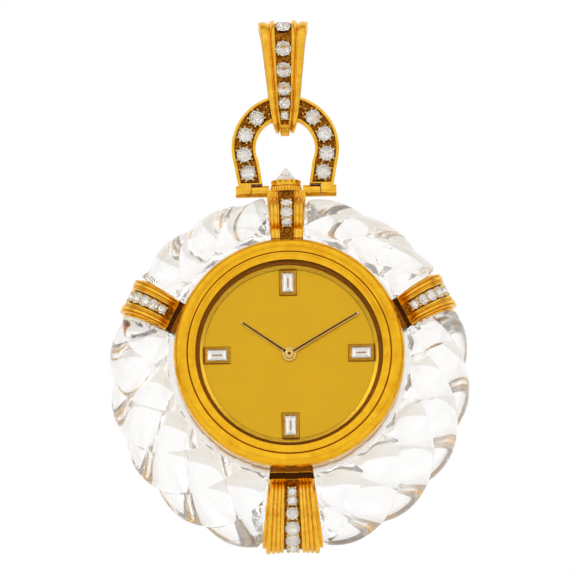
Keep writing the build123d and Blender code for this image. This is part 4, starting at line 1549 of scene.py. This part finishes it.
@dataclass
class Crown:
    """The fluted crown with its notched collar and a brilliant set point up.

    The rim's places are (distance from the face, inset, share of the flutes' depth).
    """

    base: float = 23.45
    disc_top: float = 24.25
    radius: float = 2.22
    rim: tuple[tuple[float, float, float], ...] = ((0.0, -0.35, 0.0), (0.0, -0.14, 0.4), (0.08, -0.03, 0.9),
                                                   (0.16, 0.0, 1.0))
    flutes: int = 30
    flute_steps: int = 10
    flute_depth: float = 0.12
    flute_power: int = 8
    collar_top: float = 25.1
    collar_radius: float = 2.14
    collar_foot: float = 0.22
    collar_sink: float = 0.03
    notches: int = 16
    notch_width: float = 0.2
    notch_depth: float = 0.4
    claw_steps: int = 5
    claw_chamfer: float = 0.06
    stone_diameter: float = 3.3
    stone_rise: float = 2.05

    def upright(self, radius: float, angle: float, height: float) -> Vector:
        """A point round the axis of the crown."""
        return Vector((radius * cos(radians(angle)), height, radius * sin(radians(angle))))

    def ring(self, radius: float, height: float, steps: int) -> list[Vector]:
        """Evenly spaced points round the axis of the crown."""
        return [self.upright(radius, FULL_TURN * n / steps, height) for n in range(steps)]

    def disc(self, draft: Draft) -> None:
        """Draw the fluted disc with softened rims.

        Args:
            draft: The mesh that takes it.
        """
        steps = self.flutes * self.flute_steps
        profile = [(self.base + rise, inset, share) for rise, inset, share in self.rim]
        profile += [(self.disc_top - rise, inset, share) for rise, inset, share in reversed(self.rim)]
        rows = []
        for height, inset, share in profile:
            line = []
            for n in range(steps):
                cut = self.flute_depth * share * abs(cos(pi * n * self.flutes / steps)) ** self.flute_power
                line.append(self.upright(self.radius + inset - cut, FULL_TURN * n / steps, height))
            rows.append(line)
        draft.grid(rows, caps=True)

    def collar(self, draft: Draft) -> None:
        """Draw the collar: a plain wall that ends in square claws.

        Args:
            draft: The mesh that takes it.
        """
        inner = self.stone_diameter / 2 + self.claw_chamfer
        outer = self.collar_radius
        neck = outer - self.collar_foot
        foot = self.disc_top - self.collar_sink
        claw_foot = self.collar_top - self.notch_depth
        wall = ((foot, inner), (foot, neck), (foot + 0.08, neck), (foot + 0.1, outer), (claw_foot, outer),
                (claw_foot, inner))
        draft.grid([self.ring(radius, height, steps=96) for height, radius in wall], close_rows=True)
        half_gap = self.notch_width / (2 * outer) * HALF_TURN / pi
        pitch = FULL_TURN / self.notches
        levels = ((claw_foot - 0.02, 0.0), (self.collar_top - self.claw_chamfer, 0.0),
                  (self.collar_top, -self.claw_chamfer))
        for claw in range(self.notches):
            start, stop = claw * pitch + half_gap, (claw + 1) * pitch - half_gap
            turns = [start + (stop - start) * n / self.claw_steps for n in range(self.claw_steps + 1)]
            rows = []
            for height, outset in levels:
                rows.append([self.upright(outer + outset, turn, height) for turn in turns]
                            + [self.upright(inner, turn, height) for turn in reversed(turns)])
            draft.grid(rows, caps=True)

    def build(self, finishes: Finishes) -> None:
        """Make the cap, the cup under the stone painted near white for the light it throws back, and the
        stone.

        Args:
            finishes: The finishes of the watch.
        """
        cap, cup, stone = Draft(), Draft(), Draft()
        self.disc(cap)
        self.collar(cap)
        bowl = ((self.stone_diameter / 2 + 0.02, 0.08), (0.9, 0.56), (0.05, 0.57))
        cup.grid([self.ring(radius, self.collar_top - drop, steps=48) for radius, drop in bowl])
        place = Matrix.Translation((0, self.collar_top, 0)) @ Matrix.Rotation(radians(QUARTER_TURN), 4, "X")
        CUT.draw(stone, place, self.stone_diameter, self.stone_rise)
        cap.made("fluted_crown", finishes.worked, Body.CROWN, ("crown_cap",))
        # The cup is painted near white for the light that the stone throws back.
        cup.made("crown_seat_cup", finishes.seat, Body.CROWN)
        stone.made("crown_brilliant", finishes.diamond, Body.CROWN, ("crown_stone",), "diamond", smooth=False)


@dataclass
class HorseshoeLink:
    """The horseshoe between hinge and bail, with raised rims, eight stones and the outer knuckles."""

    centre_height: float = 29.8
    outer: float = 7.6
    inner: float = 4.2
    half_thickness: float = 0.8
    rim: float = 0.45
    recess: float = 0.3
    foot_height: float = 24.65
    foot_outer: float = 6.75
    foot_inner: float = 3.3
    outer_tangent: float = -15.0
    inner_tangent: float = -25.0
    leg_share: float = 0.16
    knuckle_span: tuple[float, float] = (4.95, 7.1)
    stone_diameter: float = 2.15
    stone_angles: tuple[float, ...] = (47.3, 19.2, -8.8)
    low_stone: tuple[float, float] = (5.33, 26.3)
    seat_depth: float = 0.74
    seat_margin: float = 0.05
    seat_blend: float = 0.2
    skin: float = 0.02
    top_beads: tuple[float, ...] = (20, 110, 200, 290)
    top_bead_angle: float = 66.0
    top_bead_gap: float = 0.55
    top_bead: float = 0.2
    joint: float = 0.06
    joint_depth: float = 0.7

    def round_centre(self, radius: float, angle: float) -> Vector:
        """A point at a radius and an angle from the middle of the horseshoe."""
        return polar(radius, angle) + Vector((0, self.centre_height, 0))

    def edge(self, radius: float, tangent: float, foot: float, share: float) -> Vector:
        """A point on one edge of the band, from the right foot (0) over the top to the left foot (1).

        Args:
            radius: The radius of the edge's arc.
            tangent: Where the arc ends, in degrees.
            foot: The edge's distance from the middle at the foot.
            share: How far along the band.

        Returns:
            The point in the drawing frame.
        """
        mirror = -1 if share > 0.5 else 1
        along = min(share, 1 - share)
        if along < self.leg_share:
            corner = self.round_centre(radius, tangent)
            point = Vector((foot, self.foot_height, 0)).lerp(corner, along / self.leg_share)
        else:
            part = (along - self.leg_share) / (0.5 - self.leg_share)
            point = self.round_centre(radius, tangent + (QUARTER_TURN - tangent) * part)
        return Vector((mirror * point.x, point.y, 0))

    def station(self, share: float) -> tuple[Vector, Vector, float]:
        """The band's inner edge, the way across it and its width.

        Args:
            share: How far along the band.

        Returns:
            The point on the inner edge, a unit vector to the outer edge, and the distance to it.
        """
        inner = self.edge(self.inner, self.inner_tangent, self.foot_inner, share)
        across = self.edge(self.outer, self.outer_tangent, self.foot_outer, share) - inner
        return inner, across.normalized(), across.length

    def band(self, draft: Draft) -> None:
        """Draw the band with its two rounded rims round a deep channel, which rises at both feet.

        Args:
            draft: The mesh that takes it.
        """
        full = self.half_thickness
        back = ((0.0, full - 0.2), (0.06, full - 0.06), (0.2, full))
        steps = 128
        rows = []
        for step in range(steps + 1):
            inner, across, width = self.station(step / steps)
            sunk = full - self.seat_depth * ease(min(step, steps - step) / 1.5 - 1)
            rim = [(self.rim, sunk), (self.rim, full - 0.12), (self.rim - 0.05, full - 0.03),
                   (self.rim * 0.5, full), (0.1, full - 0.05), (0.0, full - 0.2)]
            section = [(x, z) for x, z in reversed(rim)] + [(width - x, z) for x, z in rim]
            section += [(width - x, -z) for x, z in back] + [(x, -z) for x, z in reversed(back)]
            rows.append([inner + across * x + Vector((0, 0, z)) for x, z in section])
        draft.grid(rows, caps=True)

    def spots(self, side: int) -> list[Vector]:
        """The middles of the four stones on one side.

        Args:
            side: 1 for the right side, -1 for the left.

        Returns:
            The places, from the top down.
        """
        middle = (self.outer + self.inner) / 2
        found = [self.round_centre(middle, angle) for angle in self.stone_angles]
        found.append(Vector((*self.low_stone, 0)))
        return [Vector((side * spot.x, spot.y, 0)) for spot in found]

    def floor(self, draft: Draft) -> None:
        """Draw the rough floor of the channel, hollowed round every stone.

        Args:
            draft: The mesh that takes it.
        """
        steps, margin, columns = 150, 3, 14
        top = self.half_thickness - self.recess
        hollow = self.seat_depth - self.recess - self.skin
        seats = [spot for side in (-1, 1) for spot in self.spots(side)]
        radius = self.stone_diameter / 2 - self.seat_margin + self.seat_blend / 2
        start = self.rim - self.skin
        rows = []
        for step in range(margin, steps + 1 - margin):
            inner, across, width = self.station(step / steps)
            line = []
            for column in range(columns + 1):
                point = inner + across * (start + (width - 2 * start) * column / columns)
                near = min((point - seat).length for seat in seats)
                sunk = hollow * ease((radius - near) / self.seat_blend)
                line.append(point + Vector((0, 0, top - sunk)))
            rows.append(line)
        draft.grid(rows, close_columns=False)

    def hinge(self, draft: Draft, floor: Draft) -> None:
        """Draw the outer knuckles, the blocks that join them to the feet, and the painted shade in the joints
        between.

        Args:
            draft: The mesh that takes the knuckles and the blocks.
            floor: The mesh that takes the painted shade in the joints.
        """
        full = self.half_thickness - self.skin
        near, far = self.knuckle_span
        for side in (-1, 1):
            draw_bar(draft, (side * near, side * far), HINGE_HEIGHT, KNUCKLE_RADIUS)
            draw_box(draft, (side * near, side * (self.foot_outer - self.skin)),
                     (HINGE_HEIGHT, self.foot_height + 0.04), (-full, full))
            # A dark strip in the joint between foot and knuckle is painted shade.
            draw_box(floor, (side * (self.foot_inner + 0.05), side * near),
                     (self.foot_height - self.joint, self.foot_height + 0.01),
                     (-self.joint_depth, self.joint_depth))

    def build(self, finishes: Finishes) -> None:
        """Make the frame, the stones and the grains.

        Args:
            finishes: The finishes of the watch.
        """
        body, floor = Draft(), Draft()
        stones = StoneRow(bead=0.19, bead_angles=(24, 56, 124, 156, 204, 236, 304, 336), bead_gap=0.15)
        self.band(body)
        self.floor(floor)
        self.hinge(body, floor)
        lift = Vector((0, 0, self.half_thickness - self.skin))
        above = self.round_centre((self.outer + self.inner) / 2, self.top_bead_angle)
        for side in (-1, 1):
            spots = self.spots(side)
            for number, spot in enumerate(spots):
                follow = spots[min(number + 1, 3)] - spots[max(number - 1, 0)]
                heading = Matrix.Rotation(atan2(follow.y, follow.x), 4, "Z")
                place = Matrix.Translation(spot + lift) @ heading
                stones.set_stone(place, self.stone_diameter, self.seat_depth - 0.08)
            top = Matrix.Translation(Vector((side * above.x, above.y, 0)) + lift)
            stones.beads(top, self.top_bead_gap, self.top_beads, self.top_bead, self.top_bead)
        body.made("horseshoe_frame", finishes.worked, Body.LINK, ("link_frame",))
        # The floor is oxidised punched gold, painted darker for the shade of its depth.
        floor.made("horseshoe_floor", finishes.punched, Body.LINK)
        stones.made("horseshoe", "link_stones", finishes, Body.LINK)


@dataclass
class Bail:
    """The tapering loop with its broad outer ribs, sloping inner ridges and a row of stones.

    Places along the front half are keys: degrees from -90 to 0 round the foot, then 0 to 1000 up the
    straight front, then 1000 and on by degrees over the eye. Widths, channels and scales are read by key.
    """

    eye_radius: float = 2.4
    foot_radius: float = 1.9
    foot_centre: float = 35.2
    front: float = 1000.0
    half_widths: tuple[tuple[float, float], ...] = ((-90, 1.3), (-60, 1.55), (-30, 1.85), (0, 2.05),
                                                    (1000, 3.05), (1022.5, 3.2), (1045, 3.35), (1067.5, 3.5),
                                                    (1090, 3.55))
    channels: tuple[tuple[float, float], ...] = ((-90, 0.9), (-60, 1.1), (-30, 1.3), (0, 1.7), (1000, 2.3),
                                                 (1022.5, 2.4), (1045, 2.45), (1067.5, 2.55), (1090, 2.6))
    scales: tuple[tuple[float, float], ...] = ((-90, 1.79), (-60, 1.4), (-30, 1.05), (0, 1.0), (1090, 1.0))
    stones: tuple[tuple[float, float], ...] = ((34.1, 1.2), (35.85, 1.65), (37.9, 1.95), (40.6, 2.2),
                                               (43.65, 2.2))
    top_stone: tuple[float, float] = (42.0, 2.1)
    floor: float = 0.06
    floor_gap: float = 0.01
    floor_columns: int = 12
    saddle: float = 0.5
    seat_margin: float = 0.03
    seat_blend: float = 0.12
    closed: float = -50.0
    closing: float = 10.0
    ridge: float = 0.95
    valley: float = 0.4
    rib: float = 0.74
    lift: float = 0.7
    under_stone: float = 0.1

    def round_axis(self, centre: float, radius: float, turn: float) -> tuple[Vector, Vector]:
        """A point round a level axis, and the way out there."""
        normal = Vector((0, sin(radians(turn)), cos(radians(turn))))
        return Vector((0, centre, 0)) + normal * radius, normal

    def spot(self, key: float) -> tuple[Vector, Vector]:
        """The inner line of the loop.

        Args:
            key: The place along the front half.

        Returns:
            The point and the outward normal.
        """
        if key <= 0:
            return self.round_axis(self.foot_centre, self.foot_radius, key)
        if key >= self.front:
            return self.round_axis(EYE_HEIGHT, self.eye_radius, key - self.front)
        share = key / self.front
        radius = self.foot_radius + (self.eye_radius - self.foot_radius) * share
        height = self.foot_centre + (EYE_HEIGHT - self.foot_centre) * share
        return Vector((0, height, radius)), Vector((0, 0, 1))

    def half_section(self, key: float) -> list[tuple[float, float]]:
        """The section from the channel outward.

        Args:
            key: The place along the front half.

        Returns:
            (across, height) points, down to the base.
        """
        inner = between(self.channels, key) / 2
        wall = between(self.half_widths, key) - inner
        scale = between(self.scales, key)
        floor = self.floor + (self.ridge - self.floor) * ease((self.closed - key) / self.closing + 1)
        points = [(0.0, floor), (0.0, self.ridge - 0.05), (0.03, self.ridge), (0.1, self.ridge), (0.22, 0.84),
                  (0.34, 0.6), (0.38, self.valley), (0.41, self.valley)]
        points += rounded_rib(0.43, 1.0, self.valley, self.rib, 12, 0.5)
        points += [(1.0, 0.0)]
        return [(inner + wall * share, height * scale) for share, height in points]

    def line(self, key: float) -> list[Vector]:
        """One section of the strap in place.

        Args:
            key: The place along the front half.

        Returns:
            The section's points in the drawing frame.
        """
        point, normal = self.spot(key)
        return [point + Vector((x, 0, 0)) + normal * h for x, h in mirrored(self.half_section(key))]

    def places(self) -> list[tuple[Matrix, float]]:
        """Where the stones lie.

        Returns:
            Each stone's place, with x along the strap, and its diameter, from the foot up.
        """
        found = []
        lean = (self.eye_radius - self.foot_radius) / (EYE_HEIGHT - self.foot_centre)
        along = Matrix.Rotation(radians(QUARTER_TURN), 4, "Z")
        for height, diameter in self.stones:
            radius = self.foot_radius + lean * max(height - self.foot_centre, 0)
            found.append((Matrix.Translation((0, height, radius + self.lift)) @ along, diameter))
        turn, diameter = self.top_stone
        spot, _ = self.round_axis(EYE_HEIGHT, self.eye_radius + self.lift, turn)
        found.append((Matrix.Translation(spot) @ Matrix.Rotation(-radians(turn), 4, "X") @ along, diameter))
        return found

    def lining(self, draft: Draft) -> None:
        """Draw the rough floor between the stones, hollowed where they sit.

        Args:
            draft: The mesh that takes it.
        """
        places = self.places()
        hollow = self.saddle - self.floor
        keys = ([self.closed + 2.5 * n for n in range(21)] + [2.5 * n for n in range(1, 400)]
                + [self.front + 1.5 * n for n in range(61)])
        rows = []
        for key in keys:
            point, normal = self.spot(key)
            half = between(self.channels, key) / 2 - self.floor_gap
            line = []
            for column in range(self.floor_columns + 1):
                spot = point + Vector((half * (2 * column / self.floor_columns - 1), 0, 0))
                inside = max(diameter / 2 - (spot + normal * self.lift - place.translation).length
                             for place, diameter in places)
                sunk = hollow * ease((inside + self.seat_margin) / self.seat_blend)
                line.append(spot + normal * (self.saddle - sunk))
            rows.append(line)
        draft.grid(rows, close_columns=False)

    def build(self, finishes: Finishes) -> None:
        """Make the loop, the stones and the grains.

        Args:
            finishes: The finishes of the watch.
        """
        keys = ([-90 + 5 * n for n in range(19)] + [self.front * n / 24 for n in range(1, 24)]
                + [self.front + 4.5 * n for n in range(21)])
        front = [self.line(key) for key in keys]
        behind = [[Vector((p.x, p.y, -p.z)) for p in line] for line in reversed(front[1:-1])]
        loop, floor = Draft(), Draft()
        loop.grid(front + behind, close_rows=True)
        self.lining(floor)
        stones = StoneRow(bead=0.18, bead_angles=(40, 140, 220, 320), bead_gap=0.06, bead_sink=0.06)
        for place, diameter in self.places():
            depth = min(CUT.pavilion_share * diameter, self.lift - self.under_stone)
            stones.set_stone(place, diameter, depth)
        loop.made("bail_loop", finishes.worked, Body.BAIL, ("bail_strap",))
        # The floor is oxidised punched gold, painted darker for the shade of its depth.
        floor.made("bail_floor", finishes.punched, Body.BAIL)
        stones.made("bail", "bail_stones", finishes, Body.BAIL)


class HiddenWork:
    """The pieces that keep their CAD shape and take a finish."""

    def build(self, finishes: Finishes) -> None:
        """Dress every CAD node that no piece replaces.

        Args:
            finishes: The finishes of the watch.
        """
        dressed = (
            (finishes.dial, ("dial",)),
            (finishes.gold, ("case_middle", "pendant_tube", "hinge_pins")),
            (finishes.rubber, ("case_back_gasket", "glass_gasket", "crown_gasket")),
            (finishes.steel, ("winding_stem", "centre_arbor", "cannon_pinion", "movement_screws")),
            (finishes.gilt, ("hour_wheel", "minute_wheel")),
            (finishes.nickel, ("main_plate", "movement_holder", "barrel_bridge", "train_bridge",
                               "balance_cock")),
            (finishes.ruby, ("bearing_jewels",)),
        )
        for material, nodes in dressed:
            for node in nodes:
                materials = frame["nodes"][node].data.materials
                materials.clear()
                materials.append(material)
                LOG.info("%s: dressed in %s", node, material.name)


@dataclass
class Studio:
    """A white light tent, a pale floor and a long lens from a little below.

    The tent's stops are places along one axis, from 0 at its negative end to 1, with their colours.
    """

    distance: float = 0.9
    elevation: float = -9.0
    roll: float = 1.1
    picture_width: float = 81.13
    picture_centre: float = 9.86
    sensor: float = 36.0
    far: float = 100.0
    floor_drop: float = 0.16
    floor_size: float = 3.0
    lamp_size: float = 0.5
    clear_share: float = 0.9
    horizon: tuple[tuple[float, str], ...] = ((0.0, "#f2ede6"), (0.3, "#e6dccd"), (0.45, "#e4d8c6"),
                                              (0.53, "#f2eee8"), (0.65, "#fbfaf8"), (1.0, "#ffffff"))
    sides: tuple[tuple[float, str], ...] = ((0.0, "#ffffff"), (0.32, "#ffffff"), (0.43, "#c8b490"),
                                            (0.55, "#c8b490"), (0.64, "#ffffff"), (1.0, "#ffffff"))

    def camera(self) -> None:
        """Place the long lens, level with the photograph's view."""
        data = bpy.data.cameras.new("long_lens")
        data.sensor_width = self.sensor
        data.lens = self.sensor * self.distance / (self.picture_width * MM)
        data.clip_end = self.far
        camera = bpy.data.objects.new("long_lens", data)
        bpy.context.scene.collection.objects.link(camera)
        bpy.context.scene.camera = camera
        tilt = radians(self.elevation)
        back = Vector((0, -cos(tilt), sin(tilt)))
        facing = (-back).to_track_quat("-Z", "Y").to_matrix().to_4x4()
        place = row(Vector((0, self.picture_centre, 0))) + back * self.distance
        roll = Matrix.Rotation(-radians(self.roll), 4, "Z")
        camera.matrix_world = Matrix.Translation(place) @ facing @ roll

    def shades(self, tree: bpy.types.NodeTree, axis: bpy.types.NodeSocket,
               stops: Sequence[tuple[float, str]]) -> bpy.types.NodeSocket:
        """Shade the tent along one axis.

        Args:
            tree: The world's node tree.
            axis: The direction's part along the axis, from -1 to 1.
            stops: Places from 0 to 1 and their sRGB colours.

        Returns:
            The socket of the shades.
        """
        place = add_node(tree, "ShaderNodeMapRange", {"From Min": -1.0, "From Max": 1.0}, {"Value": axis})
        return blend_colours(tree, place.outputs["Result"], stops)

    def light(self) -> None:
        """Wrap the watch in a white tent, warmer and darker near the horizon and level with the dial.

        What the camera sees of it directly is plain white, and so is most of what shows through stones.
        """
        world = bpy.data.worlds.new("light_tent")
        bpy.context.scene.world = world
        world.use_nodes = True
        tree = world.node_tree
        tree.nodes.clear()
        white = (1, 1, 1, 1)
        place = add_node(tree, "ShaderNodeTexCoord").outputs["Generated"]
        axes = add_node(tree, "ShaderNodeSeparateXYZ", {}, {"Vector": place})
        horizon = self.shades(tree, axes.outputs["Z"], self.horizon)
        behind = add_node(tree, "ShaderNodeMapRange",
                          {"From Min": -0.35, "From Max": 0.25, "interpolation_type": "SMOOTHSTEP"},
                          {"Value": axes.outputs["Y"]})
        front = add_node(tree, "ShaderNodeMixRGB", {"Color2": white},
                         {"Fac": behind.outputs["Result"], "Color1": horizon})
        sides = self.shades(tree, axes.outputs["Y"], self.sides)
        tent = add_node(tree, "ShaderNodeMixRGB", {"blend_type": "MULTIPLY", "Fac": 1.0},
                        {"Color1": front.outputs["Color"], "Color2": sides})
        path = add_node(tree, "ShaderNodeLightPath")
        clear = add_node(tree, "ShaderNodeMath", {"operation": "MULTIPLY"},
                         {0: path.outputs["Is Transmission Ray"]})
        clear.inputs[1].default_value = self.clear_share
        plain = add_node(tree, "ShaderNodeMath", {"operation": "MAXIMUM"},
                         {0: path.outputs["Is Camera Ray"], 1: clear.outputs["Value"]})
        seen = add_node(tree, "ShaderNodeMixRGB", {"Color2": white},
                        {"Fac": plain.outputs["Value"], "Color1": tent.outputs["Color"]})
        background = add_node(tree, "ShaderNodeBackground", {"Strength": 1.0},
                              {"Color": seen.outputs["Color"]})
        add_node(tree, "ShaderNodeOutputWorld", {}, {"Surface": background.outputs["Background"]})

    def soft_box(self, name: str, place: Vector, power: float) -> None:
        """Hang one square soft box that faces the watch.

        Args:
            name: Its name.
            place: Where it hangs, in metres in the row frame.
            power: Its power in watts.
        """
        data = bpy.data.lights.new(name, "AREA")
        data.size = self.lamp_size
        data.energy = power
        lamp = bpy.data.objects.new(name, data)
        bpy.context.scene.collection.objects.link(lamp)
        lamp.location = place
        lamp.visible_glossy = False
        lamp.rotation_mode = "QUATERNION"
        lamp.rotation_quaternion = (row(Vector((0, 0, 0))) - place).to_track_quat("-Z", "Y")

    def floor(self) -> None:
        """Lay a pale floor well below the watch."""
        half = self.floor_size / 2
        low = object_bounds()[0].z - self.floor_drop
        mesh = bpy.data.meshes.new("pale_floor")
        corners = ((-half, -half), (half, -half), (half, half), (-half, half))
        mesh.from_pydata([(x, y, low) for x, y in corners], [], [(0, 1, 2, 3)])
        material, tree, shader, _ = new_material("matt_white_board")
        fill_node(tree, shader, {"Base Color": linear("#f4f4f2"), "Roughness": 0.9})
        mesh.materials.append(material)
        board = bpy.data.objects.new("pale_floor", mesh)
        bpy.context.scene.collection.objects.link(board)
        board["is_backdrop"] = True

    def build(self) -> None:
        """Set up the camera, the light and the floor."""
        self.camera()
        self.light()
        self.floor()
        self.soft_box("key_left", Vector((-0.6, -0.5, 0.35)), power=1.4)
        self.soft_box("key_right", Vector((0.6, -0.5, 0.25)), power=1.0)
        bpy.context.scene.view_settings.view_transform = "Standard"


# Each strap's stones, as (turn round the section in degrees, diameter in mm), from the outside in.
SIDE_STONES = ((20.0, 1.75), (46.0, 1.75), (70.0, 1.7), (93.0, 1.55), (117.0, 1.35))
TOP_STONES = ((50.0, 1.76), (86.0, 1.8), (116.0, 1.55))
BOTTOM_STONES = ((12.0, 2.0), (38.0, 2.07), (61.0, 2.07), (84.0, 1.76), (104.0, 1.5), (119.0, 1.4))


def main() -> None:
    """Build every sub-assembly in order."""
    logging.basicConfig(level=logging.INFO, format="%(message)s")
    finishes = Finishes()
    assemblies = (
        CrystalRing(), WatchCase(), HourMarkers(), Hands(), Crown(),
        TopStrap("top", TOP_BED, (1.85, 2.3), TOP_STONES, dive=148.0, dive_height=0.9,
                 ribs=((0.16, 0.5, 1.02), (0.53, 0.85, 1.1)), fullness=0.35),
        Strap("left", LEFT_BED, (1.7, 2.05), SIDE_STONES),
        Strap("right", RIGHT_BED, (1.7, 2.05), SIDE_STONES),
        Strap("bottom", BOTTOM_BED, (1.7, 2.7), BOTTOM_STONES, dive=141.0, gleam=0.5,
              ribs=((0.17, 0.37, 1.02), (0.39, 0.58, 1.08), (0.6, 0.84, 1.12))),
        HorseshoeLink(), Bail(), HiddenWork(),
    )
    for assembly in assemblies:
        assembly.build(finishes)
    Studio().build()
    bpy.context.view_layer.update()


if __name__ == "__main__":
    main()
